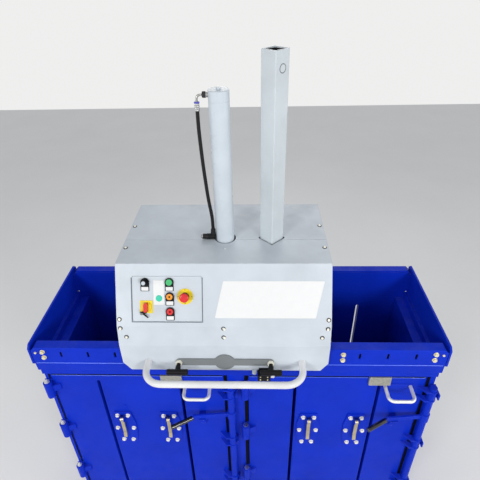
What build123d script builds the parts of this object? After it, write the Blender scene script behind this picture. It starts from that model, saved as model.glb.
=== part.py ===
from build123d import *
from math import atan2, cos, hypot, radians, sin, sqrt
import os

# Vertical baling press with two chambers under one rim and a press head that rolls along it.
# Millimetres, +Z up, X to the operator's right, Y away from the operator. The origin is on the
# floor, at the centre of the machine's footprint. "left" and "right" are the operator's.

# Chambers
CHAMBER_WIDTH = 700.0
CHAMBER_DEPTH = 448.0
COLUMN_WIDTH = 126.0
COLUMN_WEB_OFFSET = 75.0
WALL_THICKNESS = 42.0
WALL_RIB_PITCH = 110.0
BACK_WALL_THICKNESS = 30.0
BACK_JOINT = 2.0
SKIN = 5.0
RIB = 5.0
CAP = 6.0
COLLAR_HEIGHT = 155.5
FLOOR_TOP = 140.0
FLOOR_SHEET = 8.0
DRAIN_RADIUS = 10.0

# Rim that carries the press head
RIM_TOP = 1200.0
HEADER_DEPTH = 41.5
HEADER_SHEET = 4.0
RAIL_SHEET = 6.0
RAIL_FLANGE = 42.0
RAIL_WEB = 128.0
RAIL_LIP = 46.0
RAIL_LIP_LEAN = 3.0
RAIL_BEND = 5.0
RAIL_OVERHANG = 8.0
RAIL_CORNER = 14.0
RIM_SLOT_OFFSET = 173.5
RIM_SLOT_PITCH = 108.0
RIM_SLOT_DROP = 34.0
RIM_SLOT_LENGTH = 30.0
RIM_SLOT_WIDTH = 9.0
RAIL_BOLT_COLUMNS = ((1.0, 23.0), (353.0, 19.0))
RAIL_BOLT_STEP = 30.0
END_PLATE_SHEET = 8.0
END_PLATE_GAP = 3.0
END_PLATE_RISE = 9.0
END_PLATE_CORNER = 41.0
END_PLATE_FOOT = 6.0
END_BLOCK_HEIGHT = 100.0
END_BLOCK_DROP = 70.0
COLLAR_LAP = 10.0

# Doors, hung on their left edge and barred on their right
DOOR_LAP_LEFT = 18.0
DOOR_LAP_RIGHT = 5.0
DOOR_FOOT_GAP = 5.0
DOOR_FLOOR_STEP = 1.0
DOOR_HEAD_GAP = 4.0
DOOR_THICKNESS = 29.0
DOOR_SEAL_GAP = 1.0
JAMB_GAP = 3.0
SLOT_WIDTH = 14.0
SLOT_OFFSET = 173.0
SLOT_FOOT = 19.0
SLOT_HEAD = 48.0
RIB_NEAR = 58.0
RIB_FAR = 278.0

# Hinges
HINGE_RADIUS = 17.0
HINGE_OUT = 14.0
HINGE_FACE_GAP = 1.0
HINGE_DROPS = (84.5, 364.5, 705.5)
KNUCKLE_LENGTH = 34.0
LUG_LENGTH = 25.0
KNUCKLE_GAP = 0.5
PIN_RADIUS = 7.0
PIN_HEAD = 12.0
RUNNING_GAP = 0.05
LEAF_WIDTH = 44.0
LEAF_SHEET = 6.0

# Lock bars
LOCK_OUT = 29.0
LOCK_RADIUS = 15.0
LOCK_DROPS = (93.0, 424.0, 745.0)
BEARING_WALL = 4.0
BEARING_SHEET = 8.0
BEARING_FOOT = 30.0
CLAW_LENGTH = 44.0
CLAW_HUB = 17.0
CLAW_REACH = 20.0
CLAW_NOSE = 6.0
CLAW_GAP = 1.0
AXIAL_GAP = 0.3
KEEPER_SHEET = 6.0
KEEPER_HEIGHT = 30.0
KEEPER_REACH = 38.0
KEEPER_ARM = 20.0
LEVER_DROP = 237.5
LEVER_COLLAR = 44.0
LEVER_BAR_RUN = 158.0
LEVER_BAR_LIFT = 15.0
LEVER_GRIP_RUN = 96.0
LEVER_GRIP_LIFT = 54.0
LEVER_SHEET = 8.0
LEVER_WIDTH = 22.0
LEVER_ROD = 6.0
GRIP_WALL = 4.0
GRIP_START = 13.0
GRIP_CLOSED_END = 5.0

# Catch that the lock lever lies on
CATCH_X = 255.0
CATCH_WIDTH = 30.0
CATCH_SHEET = 6.0
CATCH_HEIGHT = 74.0
CATCH_REACH = 42.0
CATCH_GAP = 2.0
CATCH_BOLT_DROPS = (17.0, 57.0)

# Strap clamps on the doors
CLAMP_OFFSET = 103.5
CLAMP_SHIFT = -2.0
CLAMP_DROP = 364.5
CLAMP_HALF_HEIGHT = 110.0
CLAMP_WAIST = 50.0
CLAMP_TIP = 36.0
CLAMP_SHOULDER = 40.0
CLAMP_SHEET = 6.0
CLAMP_BOLT_ROWS = ((90.0, 23.3), (0.0, 37.0), (-88.0, 22.2))
EAR_RADIUS = 12.0
EAR_SHEET = 4.0
CLAMP_PIVOT_RISE = 84.0
CLAMP_PIVOT_OUT = 16.0
CLAMP_PIN = 4.0
CLAMP_LEVER_WIDTH = 15.0
CLAMP_LEVER_SHEET = 6.0
CLAMP_LEVER_LENGTH = 120.0
CLAMP_LEVER_HUB = 9.0
CLAMP_LEVER_TOE = 27.0
SIDE_PLAY = 0.5

# Bolts
BOLT_SHANK = 4.0
BOLT_HEAD = 8.5
BOLT_HEAD_HEIGHT = 6.0
WASHER_RADIUS = 10.0
WASHER_SHEET = 1.5

# Door handles and galvanised covers
HANDLE_X = 246.5
HANDLE_DROP = 64.5
HANDLE_SPAN = 103.0
HANDLE_REACH = 75.0
HANDLE_ROD = 7.0
HANDLE_BEND = 22.0
PAD_WIDTH = 124.0
PAD_HEIGHT = 22.0
PAD_SHEET = 3.0
COVER_PLATE_X = {"left": 139.0, "right": 168.0}
COVER_PLATE_WIDTH = 90.0
COVER_PLATE_DEPTH = 12.0
COVER_PLATE_HEIGHT = 48.0
COVER_PLATE_SHEET = 2.0
COVER_PLATE_DROP = 3.0

# Press head: levels are counted from the rim's top, depths from its own front
HEAD_REST = -44.0
HEAD_WIDTH = 800.0
HEAD_RISE = 330.0
HEAD_OVERHANG = 19.5
TOP_SETBACK = 131.0
SLOPE_FOOT_RISE = 122.0
SLOPE_FOOT_SETBACK = 19.0
BAND_FOOT_RISE = 39.0
SKIRT_DROP = 94.0
SKIRT_SIDE_DROP = 54.0
SKIRT_CORNER = 28.0
SKIRT_RETURN = 6.0
SIDE_RISE = 13.0
SIDE_SETBACK = 10.0
HEAD_SHEET = 3.0
HEAD_BEND = 6.0
SEAM_GAP = 1.0
TRIM = 29.0
SCREW_RADIUS = 5.0
SCREW_HEAD = 3.0
BAND_SCREW_X = 3.0
BAND_SCREW_ROWS = ((75.0, 13.0), (38.0, 32.5))
SLOPE_SCREW_INSET = 11.0
SLOPE_SCREW_DOWN = 210.0
TOP_SCREW_INSET = 15.0
TOP_SCREW_PLACES = (-57.0, 103.0)

# Head frame and rollers
BEAM_GAP = 5.0
BEAM_SHEET = 10.0
BEAM_FOOT = 7.0
BEAM_HEIGHT = 123.0
SIDE_PLATE = 8.0
BRIDGE_SHEET = 15.0
ROLLER_RADIUS = 40.0
ROLLER_WIDTH = 26.0
ROLLER_INSET = 65.0
ROLLER_GAP = 0.3
ROLLER_RIM = 6.0
ROLLER_HUB = 18.0
ROLLER_DISH = 5.0
AXLE_RADIUS = 10.0
AXLE_HEAD = 15.0
AXLE_HEAD_LENGTH = 5.0
AXLE_PLAY = 1.0

# Press ram
RAM_Y = 15.0
BARREL_RADIUS = 36.0
BARREL_WALL = 6.0
BARREL_RISE = 910.0
BARREL_FLANGE = 19.0
BARREL_FLANGE_HEIGHT = 15.0
BARREL_CAP = 15.0
BARREL_EDGE = 2.0
BARREL_HOLE_GAP = 6.0
BEAD_DROP = 36.0
BEAD_HEIGHT = 0.8
BEAD_HALF = 2.0
PLUG_RADIUS = 8.0
PLUG_HEIGHT = 6.0
GLAND_LENGTH = 40.0
ROD_RADIUS = 20.0
ROD_HEADROOM = 15.0
ROD_HOLE_GAP = 5.0
PISTON_LENGTH = 30.0
ROD_FOOT = 35.0
ROD_FOOT_HEIGHT = 12.0
ROD_PAD_RIM = 5.0

# Guide tube, turned corner forward
TUBE_OFFSET = 184.0
TUBE_SIDE = 65.0
TUBE_WALL = 5.0
TUBE_RISE = 1032.0
TUBE_CORNER = 3.0
TUBE_TURN = 45.0
SLEEVE_PLAY = 0.5
SLEEVE_WALL = 8.0
SLEEVE_HEIGHT = 155.0
TUBE_HOLE_PLAY = 6.0

# Press plate
PLATE_SIDE_GAP = 7.0
PLATE_DROP = 10.0
PLATE_HEIGHT = 70.0
PLATE_SHEET = 20.0
PLATE_RIB = 8.0
PLATE_BAYS_X = 5
PLATE_BAYS_Y = 3
GROOVE_WIDTH = 30.0
GROOVE_DEPTH = 10.0

# Control panel on the sloping face. Places on it are counted from its left and upper edges.
PANEL_X = -208.5
PANEL_WIDTH = 263.0
PANEL_HEAD = 46.0
PANEL_FOOT = 17.0
PANEL_CORNER = 9.0
PANEL_GAP = 1.5
PANEL_LIP = 12.0
PANEL_SHEET = 2.0
PANEL_RECESS = 1.0
GREEN_PLACE = (141.0, 23.0)
LAMP_PLACE = (142.0, 77.0)
RED_PLACE = (143.0, 133.0)
SELECTOR_PLACE = (50.0, 23.0)
STOP_PLACE = (199.0, 77.0)
SWITCH_PLACE = (54.0, 116.0)
HOLE_RADIUS = 12.0
BODY_BACK = 22.0
BEZEL_RADIUS = 16.0
BEZEL_HEIGHT = 7.0
BEZEL_WALL = 4.0
BEZEL_FLOOR = 1.0
STEM_BORE = 8.0
STEM_PLAY = 0.1
STEM_LENGTH = 12.0
SIDE_CLEARANCE = 0.3
PUSH_TRAVEL = 4.0
PUSH_PROUD = 2.0
LAMP_DOME = 3.0
KNOB_SKIRT = 6.0
KNOB_GRIP_HEIGHT = 18.0
KNOB_GRIP_WIDTH = 8.0
KNOB_GRIP_LENGTH = 21.0
BACKPLATE = 2.0
STOP_DISC = 30.0
STOP_COLLAR = 13.0
STOP_COLLAR_HEIGHT = 12.0
STOP_NECK = 10.0
STOP_HEAD = 17.5
STOP_HEAD_HEIGHT = 14.0
STOP_CROWN = 4.0
STOP_TRAVEL = 5.0
SWITCH_PLATE = 48.0
SWITCH_PLATE_CORNER = 3.0
DIAL_RADIUS = 18.0
DIAL_HEIGHT = 6.0
DIAL_GRIP_WIDTH = 13.0
DIAL_GRIP_LENGTH = 34.0
DIAL_GRIP_HEIGHT = 15.0

# Front of the head: grab handle, locking strip, T handles and position switch
GRAB_SPAN = 596.0
GRAB_REACH = 110.0
GRAB_RADIUS = 13.0
GRAB_BEND = 67.0
GRAB_DROP = 45.0
STRIP_LENGTH = 380.0
STRIP_WIDTH = 34.0
STRIP_SHEET = 5.0
STRIP_DISC = 40.0
T_OFFSET = 178.0
T_REACH = 53.0
T_INSIDE = 5.0
T_STEM = 8.0
T_HUB = 10.0
T_HUB_LENGTH = 16.0
T_BAR = 11.0
T_BAR_LENGTH = 82.0
T_BAR_ROUND = 4.0
T_NUT = 13.0
T_NUT_HEIGHT = 10.0
PROBE_X = 152.0
PROBE_WIDTH = 50.0
PROBE_DEPTH = 30.0
PROBE_HEIGHT = 32.0
PROBE_CORNER = 4.0
PROBE_DROP = -4.0
PROBE_GLAND = 8.0
PROBE_GLAND_LENGTH = 16.0
PROBE_TAB = 14.0
PROBE_TAB_WIDTH = 40.0
PROBE_TAB_SHEET = 3.0

# Hydraulic line on top of the head
PORT_DROP = 17.0
PORT_RADIUS = 9.0
PORT_OUT = 6.0
PORT_NUT = 12.0
PIPE_RADIUS = 4.0
PIPE_BEND = 12.0
HOSE_OFFSET = 74.0
HOSE_SETBACK = 5.0
HOSE_RADIUS = 6.5
HOSE_DROP = 69.0
FERRULE_RADIUS = 8.5
FERRULE_LENGTH = 27.0
RING_RADIUS = 7.5
RING_LENGTH = 3.0
ELBOW_OFFSET = 46.0
ELBOW_SETBACK = 9.0
ELBOW_RADIUS = 10.0
ELBOW_LENGTH = 56.0
ELBOW_LIFT = 13.0
ELBOW_STUB = 17.0
ELBOW_FOOT = 34.0
HOSE_RISES = (446.0, 322.0, 180.0, 98.0)
HOSE_BOWS = ((6.0, -3.0), (17.0, -4.5))
ARC_SHARE = 0.45

# Power unit inside the head
UNIT_GAP = 29.0
TANK_WIDTH = 270.0
TANK_DEPTH = 150.0
TANK_HEIGHT = 150.0
TANK_ROUND = 12.0
TANK_FILLER = 20.0
TANK_FILLER_HEIGHT = 14.0
UNIT_Y = 152.0
MOTOR_RADIUS = 56.0
MOTOR_LENGTH = 200.0
MOTOR_FOOT_GAP = 4.0
MOTOR_FOOT = (150.0, 90.0, 20.0)
PUMP_RADIUS = 32.0
PUMP_LENGTH = 90.0
VALVE_GAP = 15.0
VALVE_SIZE = (70.0, 80.0, 70.0)
COIL_RADIUS = 11.0
COIL_HEIGHT = 45.0
COIL_PITCH = 30.0
SWITCH_BOX_GAP = 34.0
SWITCH_BOX_Y = -105.0
SWITCH_BOX_SIZE = (280.0, 85.0, 90.0)

os.makedirs("parts", exist_ok=True)

# Levels, faces and centres that follow from the sizes above
MODULE = CHAMBER_WIDTH + COLUMN_WIDTH
CHAMBERS = {"left": -MODULE / 2, "right": MODULE / 2}
WALL_IN = MODULE / 2 + CHAMBER_WIDTH / 2
WALL_OUT = WALL_IN + WALL_THICKNESS
WALL_MIDDLE = (WALL_IN + WALL_OUT) / 2
WALL_TOP = RIM_TOP - COLLAR_HEIGHT
CHAMBER_FRONT = -CHAMBER_DEPTH / 2
CHAMBER_BACK = CHAMBER_DEPTH / 2
RIM_HALF = CHAMBER_DEPTH / 2 + HEADER_DEPTH + RAIL_SHEET
RAIL_END = WALL_OUT + RAIL_OVERHANG
RAIL_BOTTOM = RIM_TOP - RAIL_WEB
FLANGE_UNDER = RIM_TOP - RAIL_SHEET
DOOR_INNER = CHAMBER_FRONT - DOOR_SEAL_GAP
DOOR_OUTER = DOOR_INNER - DOOR_THICKNESS
DOOR_MIDDLE = (DOOR_INNER + DOOR_OUTER) / 2
DOOR_LEFT = CHAMBER_WIDTH / 2 + DOOR_LAP_LEFT
DOOR_RIGHT = CHAMBER_WIDTH / 2 + DOOR_LAP_RIGHT
DOOR_BOTTOM = FLOOR_TOP + DOOR_FLOOR_STEP
DOOR_TOP = WALL_TOP - DOOR_HEAD_GAP
SILL_TOP = DOOR_BOTTOM - DOOR_FOOT_GAP
SLOT_BOTTOM = DOOR_BOTTOM + SLOT_FOOT
SLOT_TOP = DOOR_TOP - SLOT_HEAD
SLOT_RIB = (SLOT_WIDTH + RIB) / 2
HINGE_Y = DOOR_OUTER - HINGE_RADIUS - HINGE_FACE_GAP
HINGE_LEVELS = [DOOR_TOP - drop for drop in HINGE_DROPS]
BEARING_RADIUS = LOCK_RADIUS + BEARING_WALL
LOCK_Y = DOOR_OUTER - CLAW_REACH - CLAW_GAP
LOCK_LEVELS = [DOOR_TOP - drop for drop in LOCK_DROPS]
LEVER_Z = DOOR_TOP - LEVER_DROP
CLAMP_Z = DOOR_TOP - CLAMP_DROP
HANDLE_Z = DOOR_TOP - HANDLE_DROP
CATCH_TOP = LEVER_Z - LEVER_WIDTH / 2 - CATCH_GAP
JAMBS = {
    "left": (-WALL_OUT, CHAMBERS["left"] - DOOR_LEFT - JAMB_GAP),
    "column": (CHAMBERS["left"] + DOOR_RIGHT + JAMB_GAP, CHAMBERS["right"] - DOOR_LEFT - JAMB_GAP),
    "right": (CHAMBERS["right"] + DOOR_RIGHT + JAMB_GAP, WALL_OUT),
}
FRONT_FACE = Plane.XZ.offset(RIM_HALF)
BACK_FACE = Plane(origin=(0, RIM_HALF, 0), x_dir=(-1, 0, 0), z_dir=(0, 1, 0))
DOOR_FACE = Plane.XZ.offset(-DOOR_OUTER)
CLAMP_FACE = DOOR_FACE.offset(CLAMP_SHEET)


def save(piece, name):
    piece.part.label = name
    export_step(piece.part, f"parts/{name}.step")


def disc(plane, place, radius, length, bore=0.0):
    """Adds a disc, or a ring if it has a bore, that stands on the plane."""
    with BuildSketch(plane) as outline:
        with Locations(place):
            Circle(radius)
            if bore:
                Circle(bore, mode=Mode.SUBTRACT)
    extrude(outline.sketch, amount=length)


def block(plane, place, width, height, length, turn=0.0):
    """Adds a rectangular block that stands on the plane."""
    with BuildSketch(plane) as outline:
        with Locations(place):
            Rectangle(width, height, rotation=turn)
    extrude(outline.sketch, amount=length)


def hex_bolts(plane, places, shank):
    """Adds hexagon bolts with washers whose heads stand on the plane."""
    with BuildSketch(plane) as washers:
        with Locations(*places):
            Circle(WASHER_RADIUS)
    with BuildSketch(plane.offset(WASHER_SHEET)) as heads:
        with Locations(*places):
            RegularPolygon(BOLT_HEAD, 6)
    with BuildSketch(plane) as shanks:
        with Locations(*places):
            Circle(BOLT_SHANK)
    extrude(washers.sketch, amount=WASHER_SHEET)
    extrude(heads.sketch, amount=BOLT_HEAD_HEIGHT)
    extrude(shanks.sketch, amount=-shank)


# Rim: rails, box beams under them, their bolts and the end plates

RAIL_BOLT_PLACES = [
    (side * (MODULE / 2 + out), RIM_TOP - drop - step)
    for side in (-1, 1)
    for out, drop in RAIL_BOLT_COLUMNS
    for step in (0.0, RAIL_BOLT_STEP)
]


def angle_rail(name, at_back):
    """Rail: a flange for the rollers, a web with strap slots and a lip that leans in below a fold."""
    with BuildPart() as rail:
        with BuildSketch(Plane.YZ.offset(-RAIL_END)) as section:
            with BuildLine():
                Polyline(
                    (-RIM_HALF, RIM_TOP),
                    (-RIM_HALF + RAIL_FLANGE, RIM_TOP),
                    (-RIM_HALF + RAIL_FLANGE, FLANGE_UNDER),
                    (-RIM_HALF + RAIL_SHEET, FLANGE_UNDER),
                    (-RIM_HALF + RAIL_SHEET, RAIL_BOTTOM),
                    (-RIM_HALF + RAIL_LIP_LEAN, RAIL_BOTTOM),
                    (-RIM_HALF, RAIL_BOTTOM + RAIL_LIP),
                    close=True,
                )
            make_face()
            upper = section.vertices().group_by(Axis.Y)[-1]
            fillet(upper.sort_by(Axis.X)[0], RAIL_BEND)
        extrude(amount=2 * RAIL_END)
        with BuildSketch(FRONT_FACE):
            for centre in CHAMBERS.values():
                for step in (-1, 0, 1):
                    out = RIM_SLOT_OFFSET + step * RIM_SLOT_PITCH
                    slot_x = centre + out if centre > 0 else centre - out
                    with Locations((slot_x, RIM_TOP - RIM_SLOT_DROP)):
                        SlotOverall(RIM_SLOT_LENGTH, RIM_SLOT_WIDTH, rotation=90)
            with Locations(*RAIL_BOLT_PLACES):
                Circle(BOLT_SHANK)
        extrude(amount=-RAIL_SHEET, mode=Mode.SUBTRACT)
        with BuildSketch(FRONT_FACE):
            for end in (-RAIL_END, RAIL_END):
                with Locations((end, RIM_TOP)):
                    Rectangle(RAIL_CORNER * sqrt(2), RAIL_CORNER * sqrt(2), rotation=45)
        extrude(amount=-RAIL_FLANGE, mode=Mode.SUBTRACT)
        if at_back:
            mirror(about=Plane.XZ, mode=Mode.REPLACE)
    save(rail, name)


angle_rail("front_rail", False)
angle_rail("back_rail", True)

with BuildPart() as rim_headers:
    beam_height = FLANGE_UNDER - WALL_TOP
    with BuildSketch(Plane.YZ.offset(-WALL_OUT)):
        with Locations((CHAMBER_FRONT - HEADER_DEPTH / 2, WALL_TOP + beam_height / 2)):
            Rectangle(HEADER_DEPTH, beam_height)
            Rectangle(HEADER_DEPTH - 2 * HEADER_SHEET, beam_height - 2 * HEADER_SHEET, mode=Mode.SUBTRACT)
    extrude(amount=2 * WALL_OUT)
    with BuildSketch(FRONT_FACE.offset(-RAIL_SHEET)):
        with Locations(*RAIL_BOLT_PLACES):
            Circle(BOLT_SHANK)
    extrude(amount=-HEADER_SHEET, mode=Mode.SUBTRACT)
    mirror(about=Plane.XZ)
save(rim_headers, "rim_headers")

with BuildPart() as rail_bolts:
    hex_bolts(FRONT_FACE, RAIL_BOLT_PLACES, RAIL_SHEET + HEADER_SHEET)
    hex_bolts(BACK_FACE, RAIL_BOLT_PLACES, RAIL_SHEET + HEADER_SHEET)
save(rail_bolts, "rail_bolts")

with BuildPart() as end_plates:
    plate_top = RIM_TOP + END_PLATE_RISE
    with BuildSketch(Plane.YZ.offset(RAIL_END + END_PLATE_GAP)) as plate_outline:
        with Locations((0, (plate_top + RAIL_BOTTOM) / 2)):
            Rectangle(2 * RIM_HALF, plate_top - RAIL_BOTTOM)
        chamfer(plate_outline.vertices().group_by(Axis.Y)[0], END_PLATE_CORNER)
        chamfer(plate_outline.vertices().group_by(Axis.Y)[-1], RAIL_CORNER)
    extrude(amount=END_PLATE_SHEET)
    # Blocks that close the ends of the box beams, and a foot turned in towards the wall
    block_y = (CHAMBER_DEPTH + HEADER_DEPTH) / 2
    with BuildSketch(Plane.YZ.offset(WALL_OUT)):
        with Locations((-block_y, RIM_TOP - END_BLOCK_DROP), (block_y, RIM_TOP - END_BLOCK_DROP)):
            Rectangle(HEADER_DEPTH, END_BLOCK_HEIGHT)
        with Locations((0, RAIL_BOTTOM + END_PLATE_FOOT / 2)):
            Rectangle(CHAMBER_DEPTH, END_PLATE_FOOT)
    extrude(amount=RAIL_END + END_PLATE_GAP - WALL_OUT)
    mirror(about=Plane.YZ)
save(end_plates, "end_plates")


# Chamber walls, column and floors

def outer_wall(name, side):
    """Side wall: a skin on the inside, ribs outside, a jamb beside the door and an upstand on top."""
    jamb_low, jamb_high = JAMBS[name.split("_")[0]]
    with BuildPart() as wall:
        with BuildSketch(Plane.XY):
            with Locations((side * (WALL_IN + SKIN / 2), 0)):
                Rectangle(SKIN, CHAMBER_DEPTH)
            edge_rib = (CHAMBER_DEPTH - RIB) / 2
            rib_places = (-edge_rib, -WALL_RIB_PITCH, 0, WALL_RIB_PITCH, edge_rib)
            with Locations(*[(side * WALL_MIDDLE, y) for y in rib_places]):
                Rectangle(WALL_THICKNESS, RIB)
        extrude(amount=WALL_TOP)
        for level in (0.0, WALL_TOP - CAP):
            block(Plane.XY.offset(level), (side * WALL_MIDDLE, 0), WALL_THICKNESS, CHAMBER_DEPTH, CAP)
        # Upstand that laps the end plate
        upstand_x = side * (WALL_OUT - SKIN / 2)
        upstand = RAIL_BOTTOM + COLLAR_LAP - WALL_TOP
        block(Plane.XY.offset(WALL_TOP), (upstand_x, 0), SKIN, CHAMBER_DEPTH, upstand)
        block(
            Plane.XY,
            ((jamb_low + jamb_high) / 2, (DOOR_OUTER + CHAMBER_FRONT) / 2),
            jamb_high - jamb_low,
            CHAMBER_FRONT - DOOR_OUTER,
            WALL_TOP,
        )
    save(wall, name)


outer_wall("left_wall", -1)
outer_wall("right_wall", 1)

with BuildPart() as centre_column:
    jamb_low, jamb_high = JAMBS["column"]
    with BuildSketch(Plane.XY):
        Rectangle(COLUMN_WIDTH, CHAMBER_DEPTH)
        Rectangle(COLUMN_WIDTH - 2 * SKIN, CHAMBER_DEPTH - 2 * SKIN, mode=Mode.SUBTRACT)
        with Locations((0, -COLUMN_WEB_OFFSET), (0, COLUMN_WEB_OFFSET)):
            Rectangle(COLUMN_WIDTH - SKIN, RIB)
        with Locations(((jamb_low + jamb_high) / 2, (DOOR_OUTER + CHAMBER_FRONT) / 2)):
            Rectangle(jamb_high - jamb_low, CHAMBER_FRONT - DOOR_OUTER)
    extrude(amount=WALL_TOP)
    with BuildSketch(Plane.XY):
        Rectangle(COLUMN_WIDTH, CHAMBER_DEPTH)
        drain_y = (CHAMBER_DEPTH / 2 + COLUMN_WEB_OFFSET) / 2
        with Locations((0, -drain_y), (COLUMN_WIDTH / 4, 0), (0, drain_y)):
            Circle(DRAIN_RADIUS, mode=Mode.SUBTRACT)
    extrude(amount=CAP)
    block(Plane.XY.offset(WALL_TOP - CAP), (0, 0), COLUMN_WIDTH, CHAMBER_DEPTH, CAP)
save(centre_column, "centre_column")


def slots(plane, centre, depth):
    """Cuts the two strap slots of a door or back wall."""
    with BuildSketch(plane) as outline:
        for x in (centre - SLOT_OFFSET, centre + SLOT_OFFSET):
            with Locations((x, (SLOT_BOTTOM + SLOT_TOP) / 2)):
                SlotOverall(SLOT_TOP - SLOT_BOTTOM, SLOT_WIDTH, rotation=90)
    extrude(outline.sketch, amount=-depth, mode=Mode.SUBTRACT)


def slot_ribs(centre):
    """Places of the ribs beside the strap slots and between them and the edges."""
    return [
        centre + side * out
        for side in (-1, 1)
        for out in (SLOT_OFFSET - SLOT_RIB, SLOT_OFFSET + SLOT_RIB, RIB_FAR)
    ]


def back_wall(name, centre):
    """Back wall: a skin inside with ribs behind it, and a slot for each strap."""
    low = BACK_JOINT / 2 if centre > 0 else -WALL_OUT
    high = WALL_OUT if centre > 0 else -BACK_JOINT / 2
    middle = (low + high) / 2
    with BuildPart() as wall:
        with BuildSketch(Plane.XY):
            with Locations((middle, CHAMBER_BACK + SKIN / 2)):
                Rectangle(high - low, SKIN)
            ribs = [low + RIB / 2, high - RIB / 2, centre, *slot_ribs(centre)]
            with Locations(*[(x, CHAMBER_BACK + BACK_WALL_THICKNESS / 2) for x in ribs]):
                Rectangle(RIB, BACK_WALL_THICKNESS)
        extrude(amount=WALL_TOP)
        rear = CHAMBER_BACK + BACK_WALL_THICKNESS - SKIN / 2
        block(Plane.XY, (middle, rear), high - low, SKIN, SLOT_BOTTOM)
        block(Plane.XY.offset(SLOT_TOP), (middle, rear), high - low, SKIN, WALL_TOP - SLOT_TOP)
        slots(Plane.XZ.offset(-CHAMBER_BACK), centre, SKIN)
    save(wall, name)


for side_name, centre in CHAMBERS.items():
    back_wall(f"{side_name}_back_wall", centre)

with BuildPart() as chamber_floors:
    for centre in CHAMBERS.values():
        floor_plane = Plane.XY.offset(FLOOR_TOP - FLOOR_SHEET)
        block(floor_plane, (centre, 0), CHAMBER_WIDTH, CHAMBER_DEPTH, FLOOR_SHEET)
    # Sills under the doors: channels open towards the back, from jamb to jamb
    for left, right in ((JAMBS["left"][1], JAMBS["column"][0]), (JAMBS["column"][1], JAMBS["right"][0])):
        with BuildSketch(Plane.YZ.offset(left)):
            with BuildLine():
                Polyline(
                    (CHAMBER_FRONT, 0),
                    (DOOR_OUTER, 0),
                    (DOOR_OUTER, SILL_TOP),
                    (CHAMBER_FRONT, SILL_TOP),
                    (CHAMBER_FRONT, SILL_TOP - SKIN),
                    (DOOR_OUTER + SKIN, SILL_TOP - SKIN),
                    (DOOR_OUTER + SKIN, SKIN),
                    (CHAMBER_FRONT, SKIN),
                    close=True,
                )
            make_face()
        extrude(amount=right - left)
save(chamber_floors, "chamber_floors")


# Hinge lugs on the jambs, above and below each knuckle, and a keeper beside each claw

with BuildPart() as frame_lugs:
    for centre, jamb in ((CHAMBERS["left"], JAMBS["left"]), (CHAMBERS["right"], JAMBS["column"])):
        axis_x = centre - DOOR_LEFT - HINGE_OUT
        for level in HINGE_LEVELS:
            for start in (-KNUCKLE_LENGTH / 2 - KNUCKLE_GAP - LUG_LENGTH, KNUCKLE_LENGTH / 2 + KNUCKLE_GAP):
                with BuildSketch(Plane.XY.offset(level + start)):
                    with Locations((axis_x, HINGE_Y)):
                        Circle(HINGE_RADIUS)
                    with Locations(((axis_x + jamb[1]) / 2, (HINGE_Y + DOOR_OUTER) / 2)):
                        Rectangle(jamb[1] - axis_x, DOOR_OUTER - HINGE_Y)
                    with Locations((axis_x, HINGE_Y)):
                        Circle(PIN_RADIUS, mode=Mode.SUBTRACT)
                extrude(amount=LUG_LENGTH)
    for centre, jamb in ((CHAMBERS["left"], JAMBS["column"]), (CHAMBERS["right"], JAMBS["right"])):
        near = centre + DOOR_RIGHT + LOCK_OUT + CLAW_REACH + CLAW_GAP
        far = near + KEEPER_SHEET
        for level in LOCK_LEVELS:
            with BuildSketch(Plane.XY.offset(level - KEEPER_HEIGHT / 2)):
                with Locations(((near + far) / 2, DOOR_OUTER - KEEPER_REACH / 2)):
                    Rectangle(far - near, KEEPER_REACH)
                if near > jamb[1]:
                    with Locations(((jamb[1] + far) / 2, DOOR_OUTER + KEEPER_ARM / 2)):
                        Rectangle(far - jamb[1], KEEPER_ARM)
            extrude(amount=KEEPER_HEIGHT)
save(frame_lugs, "frame_lugs")

HINGE_HALF = KNUCKLE_LENGTH / 2 + KNUCKLE_GAP + LUG_LENGTH
with BuildPart() as hinge_pins:
    for centre in CHAMBERS.values():
        place = (centre - DOOR_LEFT - HINGE_OUT, HINGE_Y)
        for level in HINGE_LEVELS:
            disc(Plane.XY.offset(level - HINGE_HALF), place, PIN_RADIUS, 2 * HINGE_HALF)
            with BuildSketch(Plane.XY.offset(level + HINGE_HALF)):
                with Locations(place):
                    RegularPolygon(PIN_HEAD, 6)
            extrude(amount=BOLT_HEAD_HEIGHT)
save(hinge_pins, "hinge_pins")


# Doors and what is bolted or welded to them

def clamp_centres(side_name):
    return [CHAMBERS[side_name] + CLAMP_SHIFT + side * CLAMP_OFFSET for side in (-1, 1)]


def clamp_bolt_places(x):
    return [(x + side * out, CLAMP_Z + up) for up, out in CLAMP_BOLT_ROWS for side in (-1, 1)]


def catch_bolt_places(centre):
    return [(centre + CATCH_X, CATCH_TOP - drop) for drop in CATCH_BOLT_DROPS]


def all_bolt_places(side_name):
    places = catch_bolt_places(CHAMBERS[side_name])
    for x in clamp_centres(side_name):
        places += clamp_bolt_places(x)
    return places


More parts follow.
